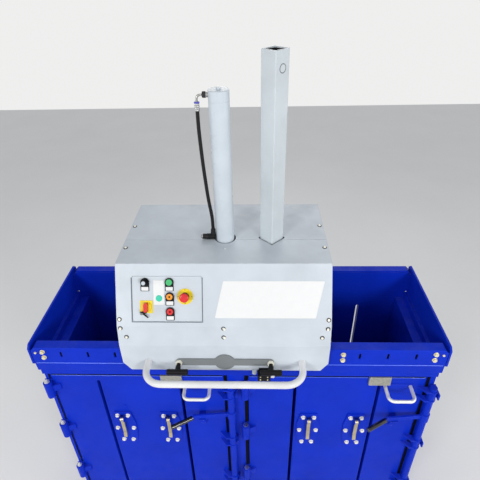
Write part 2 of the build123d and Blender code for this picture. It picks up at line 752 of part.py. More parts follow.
def door(name, side_name):
    """Door weldment: skin outside, ribs inside, strap slots, hinge knuckles and lock bar bearings."""
    centre = CHAMBERS[side_name]
    left = centre - DOOR_LEFT
    right = centre + DOOR_RIGHT
    middle = (left + right) / 2
    axis_x = left - HINGE_OUT
    lock_x = right + LOCK_OUT
    with BuildPart() as leaf:
        with BuildSketch(Plane.XY.offset(DOOR_BOTTOM)):
            with Locations((middle, DOOR_OUTER + SKIN / 2)):
                Rectangle(right - left, SKIN)
            ribs = [left + RIB / 2, right - RIB / 2, centre - RIB_NEAR, centre + RIB_NEAR, *slot_ribs(centre)]
            with Locations(*[(x, DOOR_MIDDLE) for x in ribs]):
                Rectangle(RIB, DOOR_THICKNESS)
        extrude(amount=DOOR_TOP - DOOR_BOTTOM)
        for level in (DOOR_BOTTOM, DOOR_TOP - CAP):
            block(Plane.XY.offset(level), (middle, DOOR_MIDDLE), right - left, DOOR_THICKNESS, CAP)
        slots(DOOR_FACE, centre, SKIN)
        with BuildSketch(DOOR_FACE):
            with Locations(*all_bolt_places(side_name)):
                Circle(BOLT_SHANK)
        extrude(amount=-SKIN, mode=Mode.SUBTRACT)
        block(DOOR_FACE, (centre + HANDLE_X, HANDLE_Z), PAD_WIDTH, PAD_HEIGHT, PAD_SHEET)
        # Hinge knuckles, each on a leaf that clears the jamb
        for level in HINGE_LEVELS:
            with BuildSketch(Plane.XY.offset(level - KNUCKLE_LENGTH / 2)):
                with Locations((axis_x, HINGE_Y)):
                    Circle(HINGE_RADIUS)
                with BuildLine():
                    Polyline(
                        (axis_x, HINGE_Y),
                        (axis_x + HINGE_OUT, HINGE_Y),
                        (axis_x + LEAF_WIDTH, DOOR_OUTER - LEAF_SHEET),
                        (axis_x + LEAF_WIDTH, DOOR_OUTER),
                        (left, DOOR_OUTER),
                        (left, DOOR_OUTER - HINGE_FACE_GAP),
                        (axis_x, DOOR_OUTER - HINGE_FACE_GAP),
                        close=True,
                    )
                make_face()
                with Locations((axis_x, HINGE_Y)):
                    Circle(PIN_RADIUS + RUNNING_GAP, mode=Mode.SUBTRACT)
            extrude(amount=KNUCKLE_LENGTH)
        # Bearings of the lock bar, one above and one below each claw
        for level in LOCK_LEVELS:
            for start in (-CLAW_LENGTH / 2 - AXIAL_GAP - BEARING_SHEET, CLAW_LENGTH / 2 + AXIAL_GAP):
                with BuildSketch(Plane.XY.offset(level + start)):
                    with BuildLine():
                        Polyline(
                            (right - BEARING_FOOT, DOOR_OUTER),
                            (right, DOOR_OUTER),
                            (right, LOCK_Y + LOCK_RADIUS),
                            (lock_x, LOCK_Y + LOCK_RADIUS),
                            (lock_x, LOCK_Y - LOCK_RADIUS),
                            (right, LOCK_Y - LOCK_RADIUS),
                            close=True,
                        )
                    make_face()
                    with Locations((lock_x, LOCK_Y)):
                        Circle(BEARING_RADIUS)
                        Circle(LOCK_RADIUS + RUNNING_GAP, mode=Mode.SUBTRACT)
                extrude(amount=BEARING_SHEET)
    save(leaf, name)


def clamp_plates(name, side_name):
    """Bolted plates with ears and a pin for the strap levers, and the catch of the lock lever."""
    centre = CHAMBERS[side_name]
    pivot = (DOOR_OUTER - CLAMP_SHEET - CLAMP_PIVOT_OUT, CLAMP_Z + CLAMP_PIVOT_RISE)
    ear_in = CLAMP_LEVER_WIDTH / 2 + SIDE_PLAY
    with BuildPart() as plates:
        for x in clamp_centres(side_name):
            with BuildSketch(DOOR_FACE):
                with BuildLine():
                    Polyline(
                        (x - CLAMP_TIP, CLAMP_Z + CLAMP_HALF_HEIGHT),
                        (x + CLAMP_TIP, CLAMP_Z + CLAMP_HALF_HEIGHT),
                        (x + CLAMP_WAIST, CLAMP_Z + CLAMP_SHOULDER),
                        (x + CLAMP_WAIST, CLAMP_Z - CLAMP_SHOULDER),
                        (x + CLAMP_TIP, CLAMP_Z - CLAMP_HALF_HEIGHT),
                        (x - CLAMP_TIP, CLAMP_Z - CLAMP_HALF_HEIGHT),
                        (x - CLAMP_WAIST, CLAMP_Z - CLAMP_SHOULDER),
                        (x - CLAMP_WAIST, CLAMP_Z + CLAMP_SHOULDER),
                        close=True,
                    )
                make_face()
                with Locations(*clamp_bolt_places(x)):
                    Circle(BOLT_SHANK, mode=Mode.SUBTRACT)
            extrude(amount=CLAMP_SHEET)
            for start in (x - ear_in - EAR_SHEET, x + ear_in):
                with BuildSketch(Plane.YZ.offset(start)):
                    with Locations(pivot):
                        Circle(EAR_RADIUS)
                    with Locations((pivot[0] + CLAMP_PIVOT_OUT / 2, pivot[1])):
                        Rectangle(CLAMP_PIVOT_OUT, 2 * EAR_RADIUS)
                extrude(amount=EAR_SHEET)
            disc(Plane.YZ.offset(x - ear_in - EAR_SHEET), pivot, CLAMP_PIN, 2 * (ear_in + EAR_SHEET))
        with BuildSketch(Plane.YZ.offset(centre + CATCH_X - CATCH_WIDTH / 2)):
            with BuildLine():
                Polyline(
                    (DOOR_OUTER, CATCH_TOP),
                    (DOOR_OUTER - CATCH_REACH, CATCH_TOP),
                    (DOOR_OUTER - CATCH_REACH, CATCH_TOP - CATCH_SHEET),
                    (DOOR_OUTER - CATCH_SHEET, CATCH_TOP - CATCH_SHEET),
                    (DOOR_OUTER - CATCH_SHEET, CATCH_TOP - CATCH_HEIGHT),
                    (DOOR_OUTER, CATCH_TOP - CATCH_HEIGHT),
                    close=True,
                )
            make_face()
        extrude(amount=CATCH_WIDTH)
        with BuildSketch(DOOR_FACE):
            with Locations(*catch_bolt_places(centre)):
                Circle(BOLT_SHANK)
        extrude(amount=CATCH_SHEET, mode=Mode.SUBTRACT)
    save(plates, name)


def clamp_lever(name, x):
    """Flat strap lever that hangs from its pin and ends in a turned-out toe."""
    y = DOOR_OUTER - CLAMP_SHEET - CLAMP_PIVOT_OUT
    z = CLAMP_Z + CLAMP_PIVOT_RISE
    half = CLAMP_LEVER_SHEET / 2
    with BuildPart() as lever:
        with BuildSketch(Plane.YZ.offset(x - CLAMP_LEVER_WIDTH / 2)):
            with BuildLine():
                Polyline(
                    (y + half, z),
                    (y + half, z - CLAMP_LEVER_LENGTH + CLAMP_LEVER_TOE),
                    (y - half, z - CLAMP_LEVER_LENGTH),
                    (y - 3 * half, z - CLAMP_LEVER_LENGTH),
                    (y - half, z - CLAMP_LEVER_LENGTH + CLAMP_LEVER_TOE),
                    (y - half, z),
                    close=True,
                )
            make_face()
            with Locations((y, z)):
                Circle(CLAMP_LEVER_HUB)
                Circle(CLAMP_PIN + RUNNING_GAP, mode=Mode.SUBTRACT)
        extrude(amount=CLAMP_LEVER_WIDTH)
    save(lever, name)


def door_bolts(name, side_name):
    """Bolts of the strap clamps and of the catch."""
    with BuildPart() as bolts:
        hex_bolts(CLAMP_FACE, all_bolt_places(side_name), CLAMP_SHEET + SKIN)
    save(bolts, name)


def bent_handle(plane, x, y, span, reach, bend, radius):
    """Adds a round rod bent to a U that stands out from y towards the operator."""
    with BuildLine(plane) as path:
        FilletPolyline(
            (x - span / 2, y),
            (x - span / 2, y - reach),
            (x + span / 2, y - reach),
            (x + span / 2, y),
            radius=bend,
        )
    with BuildSketch(Plane(origin=path.line @ 0, z_dir=path.line % 0)) as section:
        Circle(radius)
    sweep(section.sketch, path=path.line)


def door_handle(name, centre):
    with BuildPart() as handle:
        plane = Plane.XY.offset(HANDLE_Z)
        face = DOOR_OUTER - PAD_SHEET
        bent_handle(plane, centre + HANDLE_X, face, HANDLE_SPAN, HANDLE_REACH, HANDLE_BEND, HANDLE_ROD)
    save(handle, name)


def cover_plate(name, x):
    """Folded galvanised cover near the top edge of a door, open below."""
    low = DOOR_TOP - COVER_PLATE_DROP - COVER_PLATE_HEIGHT
    inner = COVER_PLATE_DEPTH - COVER_PLATE_SHEET
    with BuildPart() as cover:
        with BuildSketch(Plane.XY.offset(low)) as outline:
            with Locations((x, DOOR_OUTER - COVER_PLATE_DEPTH / 2)):
                Rectangle(COVER_PLATE_WIDTH, COVER_PLATE_DEPTH)
            fillet(outline.vertices().group_by(Axis.Y)[0], 2 * COVER_PLATE_SHEET)
        extrude(amount=COVER_PLATE_HEIGHT)
        with BuildSketch(Plane.XY.offset(low)):
            with Locations((x, DOOR_OUTER - inner / 2)):
                Rectangle(COVER_PLATE_WIDTH - 2 * COVER_PLATE_SHEET, inner)
        extrude(amount=COVER_PLATE_HEIGHT - COVER_PLATE_SHEET, mode=Mode.SUBTRACT)
    save(cover, name)


LEVER_ALONG = Vector(-LEVER_GRIP_RUN, -LEVER_GRIP_LIFT, 0).normalized()
LEVER_ROD_LENGTH = hypot(LEVER_GRIP_RUN, LEVER_GRIP_LIFT) - GRIP_CLOSED_END


def lock_bar(name, x):
    """Round lock bar with three claws, and a flat lever that ends in a bent-out rod."""
    low = LOCK_LEVELS[-1] - CLAW_LENGTH
    high = LOCK_LEVELS[0] + CLAW_LENGTH
    half = LEVER_SHEET / 2
    knee = Vector(x - LEVER_BAR_RUN, LOCK_Y - LEVER_BAR_LIFT, LEVER_Z)
    with BuildPart() as bar:
        disc(Plane.XY.offset(low), (x, LOCK_Y), LOCK_RADIUS, high - low)
        for level in LOCK_LEVELS:
            with BuildSketch(Plane.XY.offset(level - CLAW_LENGTH / 2)):
                with Locations((x, LOCK_Y)):
                    Circle(CLAW_HUB)
                with Locations((x + CLAW_REACH - CLAW_NOSE, LOCK_Y)):
                    Circle(CLAW_NOSE)
                with Locations((x + (CLAW_REACH - CLAW_NOSE) / 2, LOCK_Y)):
                    Rectangle(CLAW_REACH - CLAW_NOSE, 2 * CLAW_NOSE)
            extrude(amount=CLAW_LENGTH)
        disc(Plane.XY.offset(LEVER_Z - LEVER_COLLAR / 2), (x, LOCK_Y), BEARING_RADIUS, LEVER_COLLAR)
        with BuildSketch(Plane.XY.offset(LEVER_Z - LEVER_WIDTH / 2)):
            with BuildLine():
                Polyline(
                    (x, LOCK_Y + half),
                    (x, LOCK_Y - half),
                    (knee.X, knee.Y - half),
                    (knee.X - LEVER_SHEET, knee.Y - LEVER_SHEET),
                    (knee.X - LEVER_SHEET, knee.Y + half),
                    (knee.X, knee.Y + half),
                    close=True,
                )
            make_face()
        extrude(amount=LEVER_WIDTH)
        with BuildSketch(Plane(origin=knee, z_dir=LEVER_ALONG)):
            Circle(LEVER_ROD)
        extrude(amount=LEVER_ROD_LENGTH)
    save(bar, name)


def lock_grip(name, x):
    """Grip sleeve with a closed, rounded end."""
    knee = Vector(x - LEVER_BAR_RUN, LOCK_Y - LEVER_BAR_LIFT, LEVER_Z)
    start = knee + LEVER_ALONG * GRIP_START
    end = knee + LEVER_ALONG * (LEVER_ROD_LENGTH + GRIP_CLOSED_END)
    with BuildPart() as grip:
        with BuildSketch(Plane(origin=start, z_dir=LEVER_ALONG)):
            Circle(LEVER_ROD + GRIP_WALL)
        extrude(amount=(end - start).length)
        rims = grip.edges().filter_by(GeomType.CIRCLE)
        fillet(rims.sort_by_distance(end)[0], GRIP_CLOSED_END / 2)
        with BuildSketch(Plane(origin=knee, z_dir=LEVER_ALONG)):
            Circle(LEVER_ROD)
        extrude(amount=LEVER_ROD_LENGTH, mode=Mode.SUBTRACT)
    save(grip, name)


for side_name, centre in CHAMBERS.items():
    door(f"{side_name}_door", side_name)
    clamp_plates(f"{side_name}_clamp_plates", side_name)
    for letter, x in zip("ab", clamp_centres(side_name)):
        clamp_lever(f"{side_name}_clamp_lever_{letter}", x)
    door_bolts(f"{side_name}_door_bolts", side_name)
    door_handle(f"{side_name}_door_handle", centre)
    cover_plate(f"{side_name}_cover_plate", centre + COVER_PLATE_X[side_name])
    lock_bar(f"{side_name}_lock_bar", centre + DOOR_RIGHT + LOCK_OUT)
    lock_grip(f"{side_name}_lock_grip", centre + DOOR_RIGHT + LOCK_OUT)


# Press head: faces, centres and levels

HX = HEAD_REST
HEAD_HALF = HEAD_WIDTH / 2
HEAD_TOP = RIM_TOP + HEAD_RISE
HEAD_FRONT = RIM_HALF + HEAD_OVERHANG
TOP_FRONT = HEAD_FRONT - TOP_SETBACK
SLOPE_FOOT = (HEAD_FRONT - SLOPE_FOOT_SETBACK, RIM_TOP + SLOPE_FOOT_RISE)
BAND_FOOT = RIM_TOP + BAND_FOOT_RISE
SKIRT_BOTTOM = RIM_TOP - SKIRT_DROP
SIDE_BOTTOM = RIM_TOP + SIDE_RISE
GRAB_Z = RIM_TOP - GRAB_DROP
SLOPE_LENGTH = hypot(SLOPE_FOOT[0] - TOP_FRONT, HEAD_TOP - SLOPE_FOOT[1])
SLOPE_TURN = atan2(SLOPE_FOOT[0] - TOP_FRONT, HEAD_TOP - SLOPE_FOOT[1])
SLOPE_OUT = (0, -cos(SLOPE_TURN), sin(SLOPE_TURN))
SLOPE = Plane(origin=(HX, -TOP_FRONT, HEAD_TOP), x_dir=(1, 0, 0), z_dir=SLOPE_OUT)
BAND_TURN = atan2(HEAD_FRONT - SLOPE_FOOT[0], SLOPE_FOOT[1] - BAND_FOOT)
BAND = Plane(origin=(HX, -HEAD_FRONT, BAND_FOOT), x_dir=(1, 0, 0), z_dir=(0, -cos(BAND_TURN), sin(BAND_TURN)))
SKIRT = Plane.XZ.offset(HEAD_FRONT)
T_PLACES = [(HX - T_OFFSET, GRAB_Z), (HX + T_OFFSET, GRAB_Z)]
PANEL_HEIGHT = SLOPE_LENGTH - PANEL_HEAD - PANEL_FOOT
PANEL_CENTRE = (PANEL_X, -PANEL_HEAD - PANEL_HEIGHT / 2)
PANEL_FACE = SLOPE.offset(-PANEL_RECESS)
TUBE_X = HX + TUBE_OFFSET
PLATE_BOTTOM = RIM_TOP - PLATE_DROP
PLATE_TOP = PLATE_BOTTOM + PLATE_HEIGHT
PLATE_DEPTH = CHAMBER_DEPTH - 2 * PLATE_SIDE_GAP
PLATE_WIDTH = CHAMBER_WIDTH - 2 * PLATE_SIDE_GAP
BEAM_INNER = PLATE_DEPTH / 2 + BEAM_GAP
BEAM_OUTER = BEAM_INNER + BEAM_SHEET
BEAM_BOTTOM = RIM_TOP + BEAM_FOOT
BEAM_TOP = BEAM_BOTTOM + BEAM_HEIGHT
BRIDGE_TOP = BEAM_TOP + BRIDGE_SHEET
SIDE_PLATE_OUT = HEAD_HALF - HEAD_SHEET
SIDE_PLATE_IN = SIDE_PLATE_OUT - SIDE_PLATE
BARREL_TOP = RIM_TOP + BARREL_RISE
BARREL_BORE = BARREL_RADIUS - BARREL_WALL
ROD_TOP = BARREL_TOP - BARREL_CAP - ROD_HEADROOM
ELBOW_Z = HEAD_TOP + ELBOW_LIFT
ELBOW_X = HX - ELBOW_OFFSET
ELBOW_Y = RAM_Y - ELBOW_SETBACK


def panel_place(place):
    """Turns a place counted from the panel's left and upper edges into one on the sloping plane."""
    return (PANEL_X - PANEL_WIDTH / 2 + place[0], -PANEL_HEAD - place[1])


def head_cover(name, sign, corners):
    """Folded sheet cover: the front (sign -1) or back (sign 1) half of the head, open at the seam."""
    end = HX - HEAD_HALF
    with BuildPart() as cover:
        with BuildSketch(Plane.YZ.offset(end)) as outer:
            with BuildLine():
                Polyline(
                    (-sign * TRIM, HEAD_TOP),
                    *[(sign * y, z) for y, z in corners],
                    (sign * HEAD_FRONT, SKIRT_BOTTOM - TRIM),
                    (-sign * TRIM, SKIRT_BOTTOM - TRIM),
                    close=True,
                )
            make_face()
            folds = [v for v in outer.vertices() if abs(v.Y) > TRIM + 1 and v.Z > SKIRT_BOTTOM]
            fillet(folds, HEAD_BEND)
        extrude(amount=HEAD_WIDTH)
        with BuildSketch(Plane.YZ.offset(end + HEAD_SHEET)):
            add(outer.sketch_local)
            offset(amount=-HEAD_SHEET, kind=Kind.INTERSECTION)
        extrude(amount=HEAD_WIDTH - 2 * HEAD_SHEET, mode=Mode.SUBTRACT)
        # Trim the seam, the underside and the lower edge of the sides
        side_in = HEAD_FRONT - SIDE_SETBACK
        with BuildSketch(Plane.YZ.offset(end)):
            with Locations((-sign * (TRIM - SEAM_GAP / 2), HEAD_TOP / 2)):
                Rectangle(2 * TRIM, 2 * HEAD_TOP)
            with Locations((0, SKIRT_BOTTOM - TRIM)):
                Rectangle(3 * HEAD_FRONT, 2 * TRIM)
            with Locations((sign * (side_in - HEAD_FRONT) / 2, SIDE_BOTTOM / 2)):
                Rectangle(side_in + HEAD_FRONT, SIDE_BOTTOM)
        extrude(amount=HEAD_WIDTH, mode=Mode.SUBTRACT)
        # Narrow return along the skirt's lower edge
        with BuildSketch(Plane.YZ.offset(end + SKIRT_CORNER)):
            with Locations((sign * (HEAD_FRONT - SKIRT_RETURN / 2), SKIRT_BOTTOM + HEAD_SHEET / 2)):
                Rectangle(SKIRT_RETURN, HEAD_SHEET)
        extrude(amount=HEAD_WIDTH - 2 * SKIRT_CORNER)
        # Cut-off lower corners
        with BuildSketch(Plane.XZ.offset(-sign * side_in)):
            for side in (-1, 1):
                edge = HX + side * HEAD_HALF
                with BuildLine():
                    Polyline(
                        (edge, RIM_TOP - SKIRT_SIDE_DROP),
                        (edge, SKIRT_BOTTOM),
                        (edge - side * SKIRT_CORNER, SKIRT_BOTTOM),
                        close=True,
                    )
                make_face()
        extrude(amount=-sign * 2 * SIDE_SETBACK, mode=Mode.SUBTRACT)
        # Openings for the cylinder and the guide tube
        with BuildSketch(Plane.XY.offset(HEAD_TOP)):
            with Locations((HX, RAM_Y)):
                Circle(BARREL_RADIUS + BARREL_HOLE_GAP)
            with Locations((TUBE_X, RAM_Y)):
                hole_side = TUBE_SIDE + 2 * TUBE_HOLE_PLAY
                Rectangle(hole_side, hole_side, rotation=TUBE_TURN)
        extrude(amount=-2 * HEAD_SHEET, mode=Mode.SUBTRACT)
        if sign < 0:
            with BuildSketch(SLOPE):
                with Locations(PANEL_CENTRE):
                    RectangleRounded(PANEL_WIDTH, PANEL_HEIGHT, PANEL_CORNER)
            extrude(amount=-2 * HEAD_SHEET, mode=Mode.SUBTRACT)
            with BuildSketch(SKIRT):
                with Locations(*T_PLACES):
                    Circle(T_STEM + RUNNING_GAP)
            extrude(amount=-2 * HEAD_SHEET, mode=Mode.SUBTRACT)
    save(cover, name)


head_cover("front_cover", -1, [(TOP_FRONT, HEAD_TOP), SLOPE_FOOT, (HEAD_FRONT, BAND_FOOT)])
head_cover("rear_cover", 1, [(HEAD_FRONT, HEAD_TOP)])

# Head frame: front and back beams with the roller axles, side plates, bridge and guide sleeve
ROLLER_Z = RIM_TOP + ROLLER_GAP + ROLLER_RADIUS
ROLLER_Y = RIM_HALF - RAIL_FLANGE / 2
ROLLER_X = HEAD_HALF - ROLLER_INSET
AXLE_END = ROLLER_Y + ROLLER_WIDTH / 2 + AXLE_PLAY
SLEEVE_IN = TUBE_SIDE + 2 * SLEEVE_PLAY
with BuildPart() as head_frame:
    with BuildSketch(Plane.XY.offset(BEAM_BOTTOM)):
        with Locations((HX, 0)):
            Rectangle(2 * SIDE_PLATE_OUT, 2 * BEAM_OUTER)
            Rectangle(2 * SIDE_PLATE_IN, 2 * BEAM_INNER, mode=Mode.SUBTRACT)
    extrude(amount=BEAM_HEIGHT)
    with BuildSketch(Plane.XY.offset(BEAM_TOP)):
        with Locations((HX, 0)):
            Rectangle(2 * SIDE_PLATE_OUT, 2 * BEAM_OUTER)
        with Locations((HX, RAM_Y)):
            Circle(ROD_RADIUS + ROD_HOLE_GAP, mode=Mode.SUBTRACT)
    extrude(amount=BRIDGE_SHEET)
    sleeve_out = SLEEVE_IN + 2 * SLEEVE_WALL
    block(Plane.XY.offset(BRIDGE_TOP), (TUBE_X, RAM_Y), sleeve_out, sleeve_out, SLEEVE_HEIGHT, TUBE_TURN)
    with BuildSketch(Plane.XY.offset(BEAM_TOP)):
        with Locations((TUBE_X, RAM_Y)):
            Rectangle(SLEEVE_IN, SLEEVE_IN, rotation=TUBE_TURN)
    extrude(amount=BRIDGE_SHEET + SLEEVE_HEIGHT, mode=Mode.SUBTRACT)
    for side in (-1, 1):
        with BuildSketch(Plane.YZ.offset(HX + side * SIDE_PLATE_OUT)):
            with BuildLine():
                Polyline(
                    (-BEAM_INNER, BRIDGE_TOP),
                    (BEAM_INNER, BRIDGE_TOP),
                    (BEAM_INNER, HEAD_TOP - HEAD_SHEET),
                    (-TOP_FRONT + HEAD_BEND, HEAD_TOP - HEAD_SHEET),
                    close=True,
                )
            make_face()
        extrude(amount=-side * SIDE_PLATE)
        for away in (-1, 1):
            place = (HX + side * ROLLER_X, ROLLER_Z)
            disc(Plane.XZ.offset(-away * BEAM_OUTER), place, AXLE_RADIUS, -away * (AXLE_END - BEAM_OUTER))
            disc(Plane.XZ.offset(-away * AXLE_END), place, AXLE_HEAD, -away * AXLE_HEAD_LENGTH)
save(head_frame, "head_frame")


def roller(name, side, away):
    """Rail roller with a hub, a dished face on both sides and a bored seat for its axle."""
    place = (HX + side * ROLLER_X, ROLLER_Z)
    near = Plane.XZ.offset(-away * ROLLER_Y + ROLLER_WIDTH / 2)
    with BuildPart() as wheel:
        disc(near, place, ROLLER_RADIUS, -ROLLER_WIDTH, bore=AXLE_RADIUS + RUNNING_GAP)
        for face, depth in ((near, -ROLLER_DISH), (near.offset(-ROLLER_WIDTH), ROLLER_DISH)):
            with BuildSketch(face):
                with Locations(place):
                    Circle(ROLLER_RADIUS - ROLLER_RIM)
                    Circle(ROLLER_HUB, mode=Mode.SUBTRACT)
            extrude(amount=depth, mode=Mode.SUBTRACT)
    save(wheel, name)


for side_name, side in (("left", -1), ("right", 1)):
    roller(f"front_{side_name}_roller", side, -1)
    roller(f"back_{side_name}_roller", side, 1)


# Press ram: barrel, rod with piston, guide tube and press plate

with BuildPart() as cylinder_barrel:
    with BuildSketch(Plane(origin=(HX, RAM_Y, 0), x_dir=(1, 0, 0), z_dir=(0, -1, 0))):
        with BuildLine():
            Polyline(
                (ROD_RADIUS + RUNNING_GAP, BRIDGE_TOP),
                (BARREL_RADIUS + BARREL_FLANGE, BRIDGE_TOP),
                (BARREL_RADIUS + BARREL_FLANGE, BRIDGE_TOP + BARREL_FLANGE_HEIGHT),
                (BARREL_RADIUS, BRIDGE_TOP + BARREL_FLANGE_HEIGHT),
                (BARREL_RADIUS, BARREL_TOP - BEAD_DROP - BEAD_HALF),
                (BARREL_RADIUS + BEAD_HEIGHT, BARREL_TOP - BEAD_DROP),
                (BARREL_RADIUS, BARREL_TOP - BEAD_DROP + BEAD_HALF),
                (BARREL_RADIUS, BARREL_TOP - BARREL_EDGE),
                (BARREL_RADIUS - BARREL_EDGE, BARREL_TOP),
                (0, BARREL_TOP),
                (0, BARREL_TOP - BARREL_CAP),
                (BARREL_BORE, BARREL_TOP - BARREL_CAP),
                (BARREL_BORE, BRIDGE_TOP + GLAND_LENGTH),
                (ROD_RADIUS + RUNNING_GAP, BRIDGE_TOP + GLAND_LENGTH),
                close=True,
            )
        make_face()
    revolve(axis=Axis((HX, RAM_Y, 0), (0, 0, 1)))
    with BuildSketch(Plane.XY.offset(BARREL_TOP)):
        with Locations((HX, RAM_Y)):
            RegularPolygon(PLUG_RADIUS, 6)
    extrude(amount=PLUG_HEIGHT)
save(cylinder_barrel, "cylinder_barrel")

with BuildPart() as piston_rod:
    disc(Plane.XY.offset(PLATE_TOP), (HX, RAM_Y), ROD_FOOT, ROD_FOOT_HEIGHT)
    disc(Plane.XY.offset(PLATE_TOP), (HX, RAM_Y), ROD_RADIUS, ROD_TOP - PLATE_TOP)
    disc(Plane.XY.offset(ROD_TOP - PISTON_LENGTH), (HX, RAM_Y), BARREL_BORE - RUNNING_GAP, PISTON_LENGTH)
save(piston_rod, "piston_rod")

with BuildPart() as guide_tube:
    with BuildSketch(Plane.XY.offset(PLATE_TOP)):
        with Locations(Location((TUBE_X, RAM_Y), TUBE_TURN)):
            RectangleRounded(TUBE_SIDE, TUBE_SIDE, TUBE_CORNER)
            Rectangle(TUBE_SIDE - 2 * TUBE_WALL, TUBE_SIDE - 2 * TUBE_WALL, mode=Mode.SUBTRACT)
    extrude(amount=RIM_TOP + TUBE_RISE - PLATE_TOP)
save(guide_tube, "guide_tube")

with BuildPart() as press_plate:
    with BuildSketch(Plane.XY.offset(PLATE_BOTTOM)):
        with Locations((HX, 0)):
            Rectangle(PLATE_WIDTH, PLATE_DEPTH)
    extrude(amount=PLATE_SHEET)
    with BuildSketch(Plane.XY.offset(PLATE_BOTTOM)):
        with Locations((HX - SLOT_OFFSET, 0), (HX + SLOT_OFFSET, 0)):
            Rectangle(GROOVE_WIDTH, PLATE_DEPTH)
    extrude(amount=GROOVE_DEPTH, mode=Mode.SUBTRACT)
    with BuildSketch(Plane.XY.offset(PLATE_BOTTOM + PLATE_SHEET)):
        bay_x = (PLATE_WIDTH - PLATE_RIB) / PLATE_BAYS_X
        bay_y = (PLATE_DEPTH - PLATE_RIB) / PLATE_BAYS_Y
        with Locations(*[(HX + (i - PLATE_BAYS_X / 2) * bay_x, 0) for i in range(PLATE_BAYS_X + 1)]):
            Rectangle(PLATE_RIB, PLATE_DEPTH)
        with Locations(*[(HX, (i - PLATE_BAYS_Y / 2) * bay_y) for i in range(PLATE_BAYS_Y + 1)]):
            Rectangle(PLATE_WIDTH, PLATE_RIB)
        with Locations((HX, RAM_Y)):
            Circle(ROD_FOOT + ROD_PAD_RIM)
        with Locations((TUBE_X, RAM_Y)):
            Rectangle(TUBE_SIDE, TUBE_SIDE, rotation=TUBE_TURN)
    extrude(amount=PLATE_HEIGHT - PLATE_SHEET)
save(press_plate, "press_plate")


# Control panel, its switches, buttons and lamp

BEZEL_PLACES = [panel_place(place) for place in (GREEN_PLACE, LAMP_PLACE, RED_PLACE, SELECTOR_PLACE)]
STOP_AT = panel_place(STOP_PLACE)
SWITCH_AT = panel_place(SWITCH_PLACE)
CAP_RADIUS = BEZEL_RADIUS - BEZEL_WALL
STEM_RADIUS = STEM_BORE - STEM_PLAY

with BuildPart() as control_panel:
    with BuildSketch(SLOPE.offset(-HEAD_SHEET)):
        with Locations(PANEL_CENTRE):
            RectangleRounded(PANEL_WIDTH + 2 * PANEL_LIP, PANEL_HEIGHT + 2 * PANEL_LIP, PANEL_CORNER)
    extrude(amount=-PANEL_SHEET)
    with BuildSketch(SLOPE.offset(-HEAD_SHEET)):
        with Locations(PANEL_CENTRE):
            RectangleRounded(
                PANEL_WIDTH - 2 * PANEL_GAP, PANEL_HEIGHT - 2 * PANEL_GAP, PANEL_CORNER - PANEL_GAP
            )
    extrude(amount=HEAD_SHEET - PANEL_RECESS)
    with BuildSketch(PANEL_FACE):
        with Locations(*BEZEL_PLACES, STOP_AT, SWITCH_AT):
            Circle(HOLE_RADIUS)
    extrude(amount=-HEAD_SHEET - PANEL_SHEET, mode=Mode.SUBTRACT)
save(control_panel, "control_panel")

with BuildPart() as switch_bodies:
    for place in (*BEZEL_PLACES, STOP_AT, SWITCH_AT):
        disc(PANEL_FACE, place, HOLE_RADIUS, -BODY_BACK, bore=STEM_BORE)
    for place in BEZEL_PLACES:
        disc(PANEL_FACE, place, BEZEL_RADIUS, BEZEL_FLOOR, bore=STEM_BORE)
        disc(PANEL_FACE.offset(BEZEL_FLOOR), place, BEZEL_RADIUS, BEZEL_HEIGHT - BEZEL_FLOOR, bore=CAP_RADIUS)
    disc(PANEL_FACE.offset(BACKPLATE), STOP_AT, STOP_COLLAR, STOP_COLLAR_HEIGHT, bore=STEM_BORE)
save(switch_bodies, "switch_bodies")

with BuildPart() as switch_backplates:
    disc(PANEL_FACE, STOP_AT, STOP_DISC, BACKPLATE, bore=STEM_BORE)
    with BuildSketch(PANEL_FACE):
        with Locations(SWITCH_AT):
            RectangleRounded(SWITCH_PLATE, SWITCH_PLATE, SWITCH_PLATE_CORNER)
            Circle(STEM_BORE, mode=Mode.SUBTRACT)
    extrude(amount=BACKPLATE)
save(switch_backplates, "switch_backplates")


def push_button(name, place):
    """Round push button that stands proud of its bezel, with a stem in the switch body."""
    base = PANEL_FACE.offset(BEZEL_FLOOR + PUSH_TRAVEL + SIDE_CLEARANCE)
    with BuildPart() as button:
        height = BEZEL_HEIGHT + PUSH_PROUD - BEZEL_FLOOR - PUSH_TRAVEL
        disc(base, place, CAP_RADIUS - SIDE_CLEARANCE, height)
        disc(base, place, STEM_RADIUS, -STEM_LENGTH)
    save(button, name)


push_button("green_button", BEZEL_PLACES[0])
push_button("red_button", BEZEL_PLACES[2])

with BuildPart() as pilot_lamp:
    lamp_height = BEZEL_HEIGHT - BEZEL_FLOOR + LAMP_DOME
    disc(PANEL_FACE.offset(BEZEL_FLOOR), BEZEL_PLACES[1], CAP_RADIUS - SIDE_CLEARANCE, lamp_height)
    fillet(pilot_lamp.edges().sort_by(Axis(PANEL_FACE.origin, SLOPE.z_dir))[-1], LAMP_DOME / 2)
save(pilot_lamp, "pilot_lamp")

with BuildPart() as selector_knob:
    knob_base = PANEL_FACE.offset(BEZEL_FLOOR + SIDE_CLEARANCE)
    disc(knob_base, BEZEL_PLACES[3], CAP_RADIUS - SIDE_CLEARANCE, BEZEL_HEIGHT + KNOB_SKIRT)
    with BuildSketch(knob_base.offset(BEZEL_HEIGHT + KNOB_SKIRT)):
        with Locations(BEZEL_PLACES[3]):
            SlotOverall(KNOB_GRIP_LENGTH, KNOB_GRIP_WIDTH, rotation=90)
    extrude(amount=KNOB_GRIP_HEIGHT - KNOB_SKIRT)
save(selector_knob, "selector_knob")

